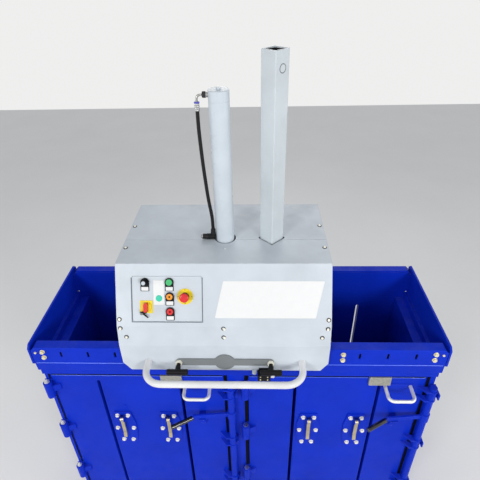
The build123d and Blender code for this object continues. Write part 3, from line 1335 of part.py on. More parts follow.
with BuildPart() as stop_button:
    collar_top = BACKPLATE + STOP_COLLAR_HEIGHT
    head_base = collar_top + STOP_TRAVEL + SIDE_CLEARANCE
    stop_origin = PANEL_FACE.from_local_coords(STOP_AT)
    mushroom = Plane(origin=stop_origin, x_dir=(1, 0, 0), z_dir=(0, -sin(SLOPE_TURN), -cos(SLOPE_TURN)))
    with BuildSketch(mushroom):
        with BuildLine():
            foot = -STEM_LENGTH
            Polyline((0, foot), (STEM_RADIUS, foot), (STEM_RADIUS, head_base), (STOP_NECK, head_base))
            Line((STOP_NECK, head_base), (STOP_HEAD, head_base + STOP_HEAD_HEIGHT / 2))
            crown = head_base + STOP_HEAD_HEIGHT
            Spline(
                (STOP_HEAD, head_base + STOP_HEAD_HEIGHT / 2),
                (STOP_HEAD - STOP_CROWN / 2, crown - STOP_CROWN / 2),
                (0, crown),
                tangents=((0, 1), (-1, 0)),
            )
            Line((0, crown), (0, foot))
        make_face()
    revolve(axis=Axis(mushroom.origin, SLOPE.z_dir))
save(stop_button, "stop_button")

with BuildPart() as main_switch:
    dial_base = PANEL_FACE.offset(BACKPLATE + SIDE_CLEARANCE)
    disc(dial_base, SWITCH_AT, DIAL_RADIUS, DIAL_HEIGHT)
    with BuildSketch(dial_base.offset(DIAL_HEIGHT)):
        with Locations(SWITCH_AT):
            SlotOverall(DIAL_GRIP_LENGTH, DIAL_GRIP_WIDTH, rotation=90)
    extrude(amount=DIAL_GRIP_HEIGHT)
    disc(dial_base, SWITCH_AT, STEM_RADIUS, -STEM_LENGTH)
save(main_switch, "main_switch")


# Front of the head

with BuildPart() as grab_handle:
    bent_handle(Plane.XY.offset(GRAB_Z), HX, -HEAD_FRONT, GRAB_SPAN, GRAB_REACH, GRAB_BEND, GRAB_RADIUS)
save(grab_handle, "grab_handle")

with BuildPart() as locking_strip:
    with BuildSketch(SKIRT):
        with Locations((HX, GRAB_Z)):
            SlotOverall(STRIP_LENGTH, STRIP_WIDTH)
            Circle(STRIP_DISC)
        with Locations(*T_PLACES):
            Circle(T_STEM + RUNNING_GAP, mode=Mode.SUBTRACT)
    extrude(amount=STRIP_SHEET)
save(locking_strip, "locking_strip")


def t_handle(name, place):
    """Screw with a T grip."""
    x, z = place
    with BuildPart() as handle:
        disc(SKIRT.offset(-T_INSIDE), place, T_STEM, T_INSIDE + T_REACH)
        disc(SKIRT.offset(T_REACH - T_BAR - T_HUB_LENGTH), place, T_HUB, T_HUB_LENGTH + T_BAR)
        disc(Plane.YZ.offset(x - T_BAR_LENGTH / 2), (-HEAD_FRONT - T_REACH, z), T_BAR, T_BAR_LENGTH)
        rims = handle.edges().filter_by(GeomType.CIRCLE).group_by(Axis.X)
        fillet([*rims[0], *rims[-1]], T_BAR_ROUND)
    save(handle, name)


t_handle("left_t_handle", T_PLACES[0])
t_handle("right_t_handle", T_PLACES[1])

with BuildPart() as position_switch:
    probe_top = SKIRT_BOTTOM - PROBE_DROP
    probe_x = HX + PROBE_X
    probe_y = -HEAD_FRONT - PROBE_DEPTH / 2
    with BuildSketch(Plane.XY.offset(probe_top)):
        with Locations((probe_x, probe_y)):
            RectangleRounded(PROBE_WIDTH, PROBE_DEPTH, PROBE_CORNER)
    extrude(amount=-PROBE_HEIGHT)
    gland_face = Plane.YZ.offset(probe_x + PROBE_WIDTH / 2)
    disc(gland_face, (probe_y, probe_top - PROBE_HEIGHT / 2), PROBE_GLAND, PROBE_GLAND_LENGTH)
    tab_height = PROBE_DROP + PROBE_TAB
    block(SKIRT, (probe_x, probe_top + tab_height / 2), PROBE_TAB_WIDTH, tab_height, PROBE_TAB_SHEET)
save(position_switch, "position_switch")

with BuildPart() as head_fasteners:
    with BuildSketch(SKIRT.offset(STRIP_SHEET)):
        with Locations(*T_PLACES):
            RegularPolygon(T_NUT, 6)
            Circle(T_STEM + RUNNING_GAP, mode=Mode.SUBTRACT)
    extrude(amount=T_NUT_HEIGHT)
    with BuildSketch(BAND):
        for up, inset in BAND_SCREW_ROWS:
            with Locations((inset - HEAD_HALF, up), (BAND_SCREW_X, up), (HEAD_HALF - inset, up)):
                Circle(SCREW_RADIUS)
    extrude(amount=SCREW_HEAD)
    with BuildSketch(SLOPE):
        screw_x = HEAD_HALF - SLOPE_SCREW_INSET
        with Locations((-screw_x, -SLOPE_SCREW_DOWN), (screw_x, -SLOPE_SCREW_DOWN)):
            Circle(SCREW_RADIUS)
    extrude(amount=SCREW_HEAD)
    with BuildSketch(Plane.XY.offset(HEAD_TOP)):
        for side in (-1, 1):
            with Locations(*[(HX + side * (HEAD_HALF - TOP_SCREW_INSET), y) for y in TOP_SCREW_PLACES]):
                Circle(SCREW_RADIUS)
    extrude(amount=SCREW_HEAD)
save(head_fasteners, "head_fasteners")


# Hydraulic line: port, nut, bent pipe, ring and ferrule at the cylinder, elbow on the cover, hose

HOSE_X = HX - HOSE_OFFSET
HOSE_Y = RAM_Y - HOSE_SETBACK
PORT_Z = BARREL_TOP - PORT_DROP
HOSE_TOP = BARREL_TOP - HOSE_DROP
HOSE_END = ELBOW_Z + ELBOW_STUB
with BuildPart() as hydraulic_fittings:
    port_face = Plane(origin=(HX - BARREL_RADIUS - PORT_OUT, RAM_Y, PORT_Z), z_dir=(1, 0, 0))
    with BuildSketch(port_face):
        Circle(PORT_RADIUS)
    extrude(until=Until.NEXT, target=cylinder_barrel.part)
    with BuildSketch(port_face):
        RegularPolygon(PORT_RADIUS, 6)
    extrude(amount=-PORT_NUT)
    with BuildLine() as pipe_path:
        FilletPolyline(
            (HX - BARREL_RADIUS - PORT_OUT - PORT_NUT, RAM_Y, PORT_Z),
            (HOSE_X, HOSE_Y, PORT_Z),
            (HOSE_X, HOSE_Y, HOSE_TOP + FERRULE_LENGTH),
            radius=PIPE_BEND,
        )
    with BuildSketch(Plane(origin=pipe_path.line @ 0, z_dir=pipe_path.line % 0)):
        Circle(PIPE_RADIUS)
    sweep(path=pipe_path.line)
    disc(Plane.XY.offset(HOSE_TOP), (HOSE_X, HOSE_Y), FERRULE_RADIUS, FERRULE_LENGTH)
    disc(Plane.XY.offset(HOSE_TOP + FERRULE_LENGTH), (HOSE_X, HOSE_Y), RING_RADIUS, RING_LENGTH)
    # Elbow that lies on the cover
    disc(Plane.YZ.offset(ELBOW_X + ELBOW_RADIUS), (ELBOW_Y, ELBOW_Z), ELBOW_RADIUS, -ELBOW_LENGTH)
    disc(Plane.XY.offset(ELBOW_Z), (ELBOW_X, ELBOW_Y), FERRULE_RADIUS, ELBOW_STUB)
    foot_x = ELBOW_X + ELBOW_RADIUS - ELBOW_LENGTH / 2
    block(Plane.XY.offset(HEAD_TOP), (foot_x, ELBOW_Y), ELBOW_FOOT, ELBOW_RADIUS, ELBOW_LIFT)
save(hydraulic_fittings, "hydraulic_fittings")

HOSE_LEVELS = [HEAD_TOP + rise for rise in HOSE_RISES]
HOSE_POINTS = [
    (HOSE_X, HOSE_Y, HOSE_TOP),
    (HOSE_X, HOSE_Y, HOSE_LEVELS[0]),
    (HOSE_X + HOSE_BOWS[0][0], HOSE_Y + HOSE_BOWS[0][1], HOSE_LEVELS[1]),
    (HOSE_X + HOSE_BOWS[1][0], HOSE_Y + HOSE_BOWS[1][1], HOSE_LEVELS[2]),
    (ELBOW_X, ELBOW_Y, HOSE_LEVELS[3]),
    (ELBOW_X, ELBOW_Y, HOSE_END),
]


def arc_radii(points):
    """Radius for each corner: a share of the shorter run over the tangent of half the turn."""
    radii = []
    for before, here, after in zip(points, points[1:], points[2:]):
        run_in = Vector(*here) - Vector(*before)
        run_out = Vector(*after) - Vector(*here)
        half_turn = radians(run_in.get_angle(run_out)) / 2
        radii.append(ARC_SHARE * min(run_in.length, run_out.length) * cos(half_turn) / sin(half_turn))
    return radii


HOSE_RADII = arc_radii(HOSE_POINTS)
print("hose radii", [round(radius) for radius in HOSE_RADII])
with BuildPart() as hydraulic_hose:
    with BuildLine() as hose_path:
        FilletPolyline(*HOSE_POINTS, radius=HOSE_RADII)
    with BuildSketch(Plane(origin=hose_path.line @ 0, z_dir=hose_path.line % 0)):
        Circle(HOSE_RADIUS)
    sweep(path=hose_path.line)
save(hydraulic_hose, "hydraulic_hose")
print("hose length", round(hose_path.wires()[0].length, 1))


# Power unit inside the head: oil tank, motor with pump, valve block and switch box

with BuildPart() as power_unit:
    tank_x = HX - SIDE_PLATE_IN + UNIT_GAP + TANK_WIDTH / 2
    tank_y = BEAM_OUTER - TANK_DEPTH / 2
    with BuildSketch(Plane.XY.offset(BRIDGE_TOP)):
        with Locations((tank_x, tank_y)):
            RectangleRounded(TANK_WIDTH, TANK_DEPTH, TANK_ROUND)
    extrude(amount=TANK_HEIGHT)
    filler = (tank_x - TANK_WIDTH / 2 + 2 * TANK_FILLER, tank_y)
    disc(Plane.XY.offset(BRIDGE_TOP + TANK_HEIGHT), filler, TANK_FILLER, TANK_FILLER_HEIGHT)
    motor_end = HX + SIDE_PLATE_IN - UNIT_GAP
    motor_z = BRIDGE_TOP + MOTOR_FOOT_GAP + MOTOR_RADIUS
    disc(Plane.YZ.offset(motor_end), (UNIT_Y, motor_z), MOTOR_RADIUS, -MOTOR_LENGTH)
    disc(Plane.YZ.offset(motor_end - MOTOR_LENGTH), (UNIT_Y, motor_z), PUMP_RADIUS, -PUMP_LENGTH)
    foot_x = motor_end - MOTOR_LENGTH / 2
    block(Plane.XY.offset(BRIDGE_TOP), (foot_x, UNIT_Y), *MOTOR_FOOT)
    valve_x = tank_x + TANK_WIDTH / 2 + VALVE_GAP + VALVE_SIZE[0] / 2
    block(Plane.XY.offset(BRIDGE_TOP), (valve_x, UNIT_Y), *VALVE_SIZE)
    for x in (valve_x - COIL_PITCH / 2, valve_x + COIL_PITCH / 2):
        disc(Plane.XY.offset(BRIDGE_TOP + VALVE_SIZE[2]), (x, UNIT_Y), COIL_RADIUS, COIL_HEIGHT)
    box_x = HX - SIDE_PLATE_IN + SWITCH_BOX_GAP + SWITCH_BOX_SIZE[0] / 2
    block(Plane.XY.offset(BRIDGE_TOP), (box_x, SWITCH_BOX_Y), *SWITCH_BOX_SIZE)
save(power_unit, "power_unit")
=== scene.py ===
import math
import random

import bmesh
import bpy
from mathutils import Matrix, Vector


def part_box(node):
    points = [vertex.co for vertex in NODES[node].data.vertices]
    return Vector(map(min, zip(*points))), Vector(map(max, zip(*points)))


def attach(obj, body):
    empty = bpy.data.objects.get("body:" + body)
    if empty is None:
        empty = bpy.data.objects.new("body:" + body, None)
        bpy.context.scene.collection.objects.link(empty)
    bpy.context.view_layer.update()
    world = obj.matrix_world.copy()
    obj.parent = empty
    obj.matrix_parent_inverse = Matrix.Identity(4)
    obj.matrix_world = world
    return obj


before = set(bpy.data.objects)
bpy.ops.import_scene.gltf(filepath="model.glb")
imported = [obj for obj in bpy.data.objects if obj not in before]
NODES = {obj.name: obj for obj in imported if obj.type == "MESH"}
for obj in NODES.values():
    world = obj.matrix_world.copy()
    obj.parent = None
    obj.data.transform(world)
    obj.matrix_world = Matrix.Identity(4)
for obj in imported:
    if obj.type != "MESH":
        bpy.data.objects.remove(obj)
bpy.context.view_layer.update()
MM = 0.001


# Material helpers

def new_material(name):
    """A node material, with its tree and its shader."""
    material = bpy.data.materials.new(name)
    material.use_nodes = True
    tree = material.node_tree
    return material, tree, tree.nodes["Principled BSDF"]


def add_node(tree, kind, inputs=(), **settings):
    """Adds a node, sets its plain settings and fills its inputs by value or by link."""
    node = tree.nodes.new(kind)
    for key, value in settings.items():
        setattr(node, key, value)
    for key, value in dict(inputs).items():
        if isinstance(value, bpy.types.NodeSocket):
            tree.links.new(value, node.inputs[key])
        else:
            node.inputs[key].default_value = value
    return node


def place(tree, scale=(1.0, 1.0, 1.0)):
    """Object coordinates in metres, stretched by scale."""
    coordinates = add_node(tree, "ShaderNodeTexCoord")
    stretch = add_node(tree, "ShaderNodeMapping", {"Vector": coordinates.outputs["Object"], "Scale": scale})
    return stretch.outputs["Vector"]


def noise(tree, scale, detail=3.0, rough=0.55, vector=None):
    """Noise from 0 to 1, on object coordinates unless a vector is given."""
    source = vector if vector is not None else place(tree)
    inputs = {"Vector": source, "Scale": scale, "Detail": detail, "Roughness": rough}
    return add_node(tree, "ShaderNodeTexNoise", inputs).outputs["Fac"]


def span(tree, value, low, high, start=0.0, end=1.0):
    """Maps value from low..high to start..end, clamped."""
    inputs = {"Value": value, "From Min": low, "From Max": high, "To Min": start, "To Max": end}
    return add_node(tree, "ShaderNodeMapRange", inputs).outputs["Result"]


def maths(tree, operation, first, second):
    """One plain sum on two values or sockets."""
    return add_node(tree, "ShaderNodeMath", {0: first, 1: second}, operation=operation).outputs[0]


def mixed(tree, factor, first, second):
    """Mixes two colours, each a colour or a socket, by the socket factor."""
    node = add_node(tree, "ShaderNodeMix", data_type="RGBA")
    for key, value in (("A", first), ("B", second)):
        socket = [s for s in node.inputs if s.name == key and s.type == "RGBA"][0]
        if isinstance(value, bpy.types.NodeSocket):
            tree.links.new(value, socket)
        else:
            socket.default_value = (*value, 1.0)
    tree.links.new(factor, [s for s in node.inputs if s.name == "Factor" and s.type == "VALUE"][0])
    return [s for s in node.outputs if s.type == "RGBA"][0]


def soft_edges(tree, radius):
    """Normal of a surface whose edges are rounded by radius, in metres."""
    return add_node(tree, "ShaderNodeBevel", {"Radius": radius}, samples=4).outputs["Normal"]


def edge_mask(tree, radius, low, high):
    """1 on convex and concave edges, 0 on flats."""
    true_normal = add_node(tree, "ShaderNodeNewGeometry").outputs["Normal"]
    pair = {0: soft_edges(tree, radius), 1: true_normal}
    dot = add_node(tree, "ShaderNodeVectorMath", pair, operation="DOT_PRODUCT")
    return span(tree, dot.outputs["Value"], high, low)


def bumps(tree, shader, height, strength, distance, normal=None):
    """Relief from a height socket, over the shader's own normal or the one given."""
    inputs = {"Height": height, "Strength": strength, "Distance": distance}
    if normal is not None:
        inputs["Normal"] = normal
    tree.links.new(add_node(tree, "ShaderNodeBump", inputs).outputs["Normal"], shader.inputs["Normal"])


DUST_TONE = (0.33, 0.32, 0.3)


def powder_coat(name, colour, worn, rough, dust, wear=0.5, gloss=0.3):
    """Powder coat: cloudy tone, fine orange peel, dust on upward faces, worn edges and faint scuffs."""
    material, tree, shader = new_material(name)
    edge = 0.0015
    clouds = span(tree, noise(tree, 5.0, 4.0), 0.3, 0.75)
    tone = mixed(tree, clouds, colour, tuple(0.82 * c for c in colour))
    true_normal = add_node(tree, "ShaderNodeNewGeometry").outputs["Normal"]
    facing = add_node(tree, "ShaderNodeSeparateXYZ", {"Vector": true_normal})
    upward = span(tree, facing.outputs["Z"], 0.6, 1.0)
    patches = span(tree, noise(tree, 14.0, 5.0, 0.65), 0.4, 0.8, 0.0, dust)
    tone = mixed(tree, maths(tree, "MULTIPLY", upward, patches), tone, DUST_TONE)
    scuffs = span(tree, noise(tree, 9.0, 6.0, 0.7, place(tree, (6.0, 6.0, 0.7))), 0.69, 0.74, 0.0, 0.28)
    tone = mixed(tree, scuffs, tone, worn)
    chips = span(tree, noise(tree, 45.0, 5.0, 0.7), 0.42, 0.7)
    edges = maths(tree, "MULTIPLY", edge_mask(tree, edge, 0.8, 0.98), chips)
    tone = mixed(tree, maths(tree, "MULTIPLY", edges, wear), tone, worn)
    tree.links.new(tone, shader.inputs["Base Color"])
    roughness = span(tree, noise(tree, 22.0, 4.0), 0.3, 0.7, rough - 0.06, rough + 0.1)
    tree.links.new(roughness, shader.inputs["Roughness"])
    shader.inputs["Specular IOR Level"].default_value = gloss
    bumps(tree, shader, noise(tree, 700.0, 2.0), 0.12, 0.0006, soft_edges(tree, edge))
    return material


def metal(name, colour, rough, stretch=(1.0, 1.0, 1.0), tint=None, full=1.0):
    """Bare or plated steel: stained tone, brushed or mottled grain; full is its share of metal."""
    material, tree, shader = new_material(name)
    stain = span(tree, noise(tree, 35.0, 5.0, 0.65), 0.3, 0.75)
    tone = mixed(tree, stain, colour, tint or tuple(0.7 * c for c in colour))
    tree.links.new(tone, shader.inputs["Base Color"])
    shader.inputs["Metallic"].default_value = full
    lines = noise(tree, 160.0, 4.0, 0.6, place(tree, stretch))
    tree.links.new(span(tree, lines, 0.3, 0.7, rough - 0.08, rough + 0.14), shader.inputs["Roughness"])
    bumps(tree, shader, lines, 0.15, 0.0003, soft_edges(tree, 0.0008))
    return material


def spangled(name, colour, darker):
    """Galvanised sheet: crystals of slightly different tone."""
    material, tree, shader = new_material(name)
    cells = add_node(tree, "ShaderNodeTexVoronoi", {"Vector": place(tree), "Scale": 150.0})
    crystal = add_node(tree, "ShaderNodeSeparateXYZ", {"Vector": cells.outputs["Color"]})
    tree.links.new(mixed(tree, crystal.outputs["X"], colour, darker), shader.inputs["Base Color"])
    shader.inputs["Metallic"].default_value = 0.85
    tree.links.new(span(tree, crystal.outputs["Y"], 0.0, 1.0, 0.34, 0.52), shader.inputs["Roughness"])
    bumps(tree, shader, noise(tree, 90.0, 3.0), 0.08, 0.0004, soft_edges(tree, 0.001))
    return material


def plastic(name, colour, rough, grain=900.0, strength=0.1, coat=0.0, gloss=0.4, mottle=0.92):
    """Moulded plastic or rubber: faint mottling and a fine grain."""
    material, tree, shader = new_material(name)
    mottling = span(tree, noise(tree, 40.0, 3.0), 0.3, 0.7)
    tone = mixed(tree, mottling, colour, tuple(mottle * c for c in colour))
    tree.links.new(tone, shader.inputs["Base Color"])
    roughness = span(tree, noise(tree, 120.0, 2.0), 0.3, 0.7, rough - 0.05, rough + 0.08)
    tree.links.new(roughness, shader.inputs["Roughness"])
    shader.inputs["Coat Weight"].default_value = coat
    shader.inputs["Specular IOR Level"].default_value = gloss
    bumps(tree, shader, noise(tree, grain, 2.0), strength, 0.0003, soft_edges(tree, 0.0006))
    return material


# Finishes

BLUE = powder_coat("blue powder coat", (0.004, 0.031, 0.555), (0.04, 0.1, 0.6), 0.4, 0.08, gloss=0.08)
GREY = powder_coat("grey powder coat", (0.635, 0.685, 0.735), (0.4, 0.42, 0.45), 0.36, 0.1, wear=0.2)
TUBE_GREY = powder_coat("ram grey", (0.64, 0.695, 0.72), (0.36, 0.38, 0.39), 0.34, 0.1, wear=0.3)
LIGHT_GREY = powder_coat("cylinder grey", (0.63, 0.69, 0.74), (0.42, 0.43, 0.44), 0.3, 0.05, wear=0.3)
# Lighter blue for the bars on the folds: painted highlight.
BLUE_FOLD_HIGHLIGHT = powder_coat("lighter blue painted highlight", (0.07, 0.15, 0.82), (0.1, 0.18, 0.7), 0.24, 0.05, gloss=0.5)
BAR_GREY = powder_coat("handle grey", (0.83, 0.83, 0.825), (0.5, 0.5, 0.52), 0.28, 0.03, wear=0.2)
STRIP_GREY = powder_coat("strip grey", (0.205, 0.225, 0.228), (0.42, 0.43, 0.43), 0.42, 0.05)
ZINC = metal("bright zinc", (0.86, 0.87, 0.87), 0.28)
HEAD_ZINC = metal("pale head zinc", (0.97, 0.94, 0.82), 0.34, tint=(0.86, 0.82, 0.68), full=0.22)
YELLOW_ZINC = metal("yellow zinc", (0.7, 0.6, 0.38), 0.32, tint=(0.5, 0.42, 0.25))
BOLT_ZINC = metal("pale bolt zinc", (0.95, 0.87, 0.55), 0.36, tint=(0.72, 0.62, 0.34), full=0.45)
SHEET_ZINC = spangled("galvanised sheet", (0.5, 0.49, 0.41), (0.38, 0.38, 0.33))
HANDLE_ZINC = metal("door handle zinc", (0.88, 0.87, 0.82), 0.38, tint=(0.78, 0.76, 0.69), full=0.3)
STEEL = metal("machined steel", (0.42, 0.42, 0.41), 0.3, stretch=(1.0, 1.0, 12.0))
CHROME = metal("hard chrome", (0.78, 0.79, 0.8), 0.14, stretch=(1.0, 1.0, 20.0))
DARK_STEEL = metal("black oxide", (0.05, 0.05, 0.055), 0.42)
BLACK = plastic("black plastic", (0.005, 0.005, 0.006), 0.42, gloss=0.16)
# Dark grey for the strips round the panel: painted shade in its gap.
PANEL_GAP_SHADE = plastic("panel gap painted shade", (0.16, 0.185, 0.22), 0.6, gloss=0.1)
# Black for painted shade in gaps, slots and louvre slits, and for painted dark reflection in the middles of
# lenses.
PAINTED_DARK = plastic("black for painted shade and reflection", (0.003, 0.003, 0.004), 0.75, 300.0, 0.2, gloss=0.06)
VINYL = plastic("black vinyl", (0.005, 0.005, 0.005), 0.16, 300.0, 0.05, coat=0.5)
RUBBER = plastic("black rubber", (0.006, 0.006, 0.007), 0.5, 300.0, 0.3, gloss=0.25)
YELLOW = plastic("yellow plastic", (0.9, 0.68, 0.012), 0.35, coat=0.2)
RED = plastic("red plastic", (0.72, 0.01, 0.014), 0.22, coat=0.5)
GREEN = plastic("green lens", (0.05, 0.5, 0.16), 0.2, coat=0.5)
ORANGE = plastic("orange lens", (0.9, 0.32, 0.01), 0.2, coat=0.5)
WHITE = plastic("white label", (0.815, 0.81, 0.8), 0.4, 500.0, 0.05, mottle=0.98)
TEAL = plastic("teal disc", (0.05, 0.62, 0.42), 0.5)
# Raw dark steel for the tube's inside, darkened also as painted shade of the deep tube.
RAW_STEEL_AND_SHADE = metal("raw steel and painted shade", (0.045, 0.047, 0.055), 0.6)
MARKER_BLUE = plastic("marker blue", (0.05, 0.06, 0.62), 0.4)

# Every node that isn't named here is painted blue.
FINISHES = {
    "head_frame": GREY, "front_cover": GREY, "rear_cover": GREY, "control_panel": GREY,
    "head_fasteners": HEAD_ZINC, "switch_bodies": BLACK, "switch_backplates": YELLOW,
    "grab_handle": BAR_GREY, "locking_strip": STRIP_GREY, "position_switch": BLACK,
    "cylinder_barrel": LIGHT_GREY, "hydraulic_fittings": STEEL, "hydraulic_hose": RUBBER,
    "power_unit": DARK_STEEL, "press_plate": TUBE_GREY, "guide_tube": TUBE_GREY,
    "piston_rod": CHROME, "green_button": GREEN, "red_button": RED, "pilot_lamp": ORANGE,
    "selector_knob": BLACK, "stop_button": RED, "main_switch": RED,
    "left_t_handle": BLACK, "right_t_handle": BLACK, "rail_bolts": BOLT_ZINC, "hinge_pins": ZINC,
}
for hand in ("left", "right"):
    FINISHES[f"{hand}_lock_grip"] = VINYL
    FINISHES[f"{hand}_cover_plate"] = SHEET_ZINC
    FINISHES[f"{hand}_door_handle"] = HANDLE_ZINC
    FINISHES[f"{hand}_door_bolts"] = HEAD_ZINC
    FINISHES[f"{hand}_clamp_lever_a"] = YELLOW_ZINC
    FINISHES[f"{hand}_clamp_lever_b"] = YELLOW_ZINC
    FINISHES[f"front_{hand}_roller"] = STEEL
    FINISHES[f"back_{hand}_roller"] = STEEL
for node_name, cad_node in NODES.items():
    for material_slot in cad_node.material_slots:
        material_slot.material = FINISHES.get(node_name, BLUE)


# Shape helpers. Their lengths and places are in millimetres.

RIGHT, FRONT, BACK, UP = (1.0, 0.0, 0.0), (0.0, -1.0, 0.0), (0.0, 1.0, 0.0), (0.0, 0.0, 1.0)
SHARP_ANGLE = math.radians(38.0)
RIM_ANGLE = math.radians(50.0)
HEAD_MIDDLE = -44.0
HEAD_TOP = 1530.0
SLOPE_TOP = Vector((HEAD_MIDDLE, -160.0, HEAD_TOP))
SLOPE_DOWN = Vector((0.0, -112.0, -208.0)).normalized()
SLOPE_OUT = Vector((0.0, -208.0, 112.0)).normalized()


def stand(origin, normal, across=RIGHT):
    """Matrix of a plane at origin: its x runs across, its z is the normal."""
    z_axis = Vector(normal).normalized()
    x_axis = Vector(across)
    x_axis = (x_axis - z_axis * x_axis.dot(z_axis)).normalized()
    turn = Matrix((x_axis, z_axis.cross(x_axis), z_axis)).transposed().to_4x4()
    return Matrix.Translation(Vector(origin) * MM) @ turn


def on_slope(x, down, out=0.0):
    """Plane on the head's sloping face: x from its middle, down from its upper edge."""
    return stand(SLOPE_TOP + Vector((x, 0.0, 0.0)) + SLOPE_DOWN * down + SLOPE_OUT * out, SLOPE_OUT)


def finish_piece(name, shape, material, body):
    """Turns a bmesh into a named piece that rides on a body."""
    bmesh.ops.recalc_face_normals(shape, faces=shape.faces[:])
    mesh = bpy.data.meshes.new(name)
    shape.to_mesh(mesh)
    shape.free()
    mesh.materials.append(material)
    for polygon in mesh.polygons:
        polygon.use_smooth = True
    mesh.set_sharp_from_angle(angle=SHARP_ANGLE)
    thing = bpy.data.objects.new(name, mesh)
    bpy.context.scene.collection.objects.link(thing)
    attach(thing, body)


def ring_of(shape, radius, height, count):
    """Corners round the z axis, or one corner on it where the radius is 0."""
    if radius == 0.0:
        return [shape.verts.new((0.0, 0.0, height * MM))]
    ring = []
    for i in range(count):
        a = 2.0 * math.pi * i / count
        ring.append(shape.verts.new((radius * MM * math.cos(a), radius * MM * math.sin(a), height * MM)))
    return ring


def join_rings(shape, lower, upper, count):
    """Faces between two rings, either of which may be a single corner."""
    for i in range(count):
        j = (i + 1) % count
        corners = [lower[i % len(lower)], lower[j % len(lower)], upper[j % len(upper)], upper[i % len(upper)]]
        shape.faces.new(list(dict.fromkeys(corners)))


def turned(name, profile, at, material, body, sides=36, closed=False):
    """Revolves a profile of (radius, height) round the z of at; closed joins its two ends."""
    shape = bmesh.new()
    rings = [ring_of(shape, radius, height, sides) for radius, height in profile]
    for lower, upper in list(zip(rings, rings[1:])) + ([(rings[-1], rings[0])] if closed else []):
        join_rings(shape, lower, upper, sides)
    shape.transform(at)
    finish_piece(name, shape, material, body)


def hex_head(name, at, across, height, material, body):
    """A six-sided bolt head with a turned chamfer."""
    shape = bmesh.new()
    corner = across / math.sqrt(3.0)
    levels = ((corner, 0.0), (corner, 0.78 * height), (0.86 * corner, height), (0.0, height))
    rings = [ring_of(shape, radius, level, 6) for radius, level in levels]
    for lower, upper in zip(rings, rings[1:]):
        join_rings(shape, lower, upper, 6)
    shape.faces.new(list(reversed(rings[0])))
    shape.transform(at)
    finish_piece(name, shape, material, body)


def rounded(width, height, radius, slant=0.0):
    """Outline of a plate with round corners; slant shifts the upper edge sideways."""
    steps = 5
    points = []
    for corner_x, corner_y, start in ((1, 1, 0), (-1, 1, 90), (-1, -1, 180), (1, -1, 270)):
        for i in range(steps + 1):
            a = math.radians(start + 90.0 * i / steps)
            y = corner_y * (height / 2 - radius) + radius * math.sin(a)
            x = corner_x * (width / 2 - radius) + radius * math.cos(a)
            points.append((x + slant * y / height, y))
    return points


def cut_sheet(name, outline, thick, at, material, body, edge=0.3):
    """A flat piece cut to an outline, with softened edges."""
    shape = bmesh.new()
    bottom = shape.faces.new([shape.verts.new((x * MM, y * MM, 0.0)) for x, y in outline])
    grown = bmesh.ops.extrude_face_region(shape, geom=[bottom])
    top = [v for v in grown["geom"] if isinstance(v, bmesh.types.BMVert)]
    bmesh.ops.translate(shape, verts=top, vec=(0.0, 0.0, thick * MM))
    rim = [e for e in shape.edges if e.is_manifold and e.calc_face_angle() > RIM_ANGLE]
    bmesh.ops.bevel(shape, geom=rim, offset=edge * MM, segments=2, affect="EDGES", clamp_overlap=True)
    shape.transform(at)
    finish_piece(name, shape, material, body)


def swept(name, points, radii, material, body, sides=10, closed=False):
    """A round bar along points, with a radius at each."""
    points = [Vector(p) for p in points]
    count = len(points)
    shape = bmesh.new()
    side = (points[1] - points[0]).orthogonal().normalized()
    rings = []
    for i, point in enumerate(points):
        before = points[(i - 1) % count] if closed or i else point
        after = points[(i + 1) % count] if closed or i < count - 1 else point
        along = (after - before).normalized()
        side = (side - along * side.dot(along)).normalized()
        other = along.cross(side)
        ring = []
        for k in range(sides):
            a = 2.0 * math.pi * k / sides
            ring.append(shape.verts.new((point + (side * math.cos(a) + other * math.sin(a)) * radii[i]) * MM))
        rings.append(ring)
    for lower, upper in list(zip(rings, rings[1:])) + ([(rings[-1], rings[0])] if closed else []):
        for k in range(sides):
            shape.faces.new((lower[k], lower[(k + 1) % sides], upper[(k + 1) % sides], upper[k]))
    if not closed:
        shape.faces.new(rings[0])
        shape.faces.new(rings[-1])
    finish_piece(name, shape, material, body)


def weld(name, start, end, radius, material, body):
    """A rippled weld bead, half sunk into the corner that it fills."""
    start, end = Vector(start), Vector(end)
    steps = max(8, round((end - start).length / 2.2))
    chance = random.Random(name)
    points, radii = [], []
    for i in range(steps + 1):
        points.append(start.lerp(end, i / steps))
        ends = min(1.0, 0.45 + 0.3 * min(i, steps - i))
        radii.append(radius * ends * (0.9 + 0.16 * (i % 2) + chance.uniform(-0.05, 0.05)))
    swept(name, points, radii, material, body, sides=8)


# Control panel. Places on the slope are (x from the head's middle, distance down the slope).

PANEL_OUT = -1.0
PLATE_OUT = 1.0
BUTTONS = {
    "green": (-199.0, 69.0), "lamp": (-198.0, 123.0), "red": (-197.0, 179.0), "selector": (-290.0, 69.0),
}
STOP_AT = (-141.0, 123.0)
DIAL_AT = (-286.0, 162.0)


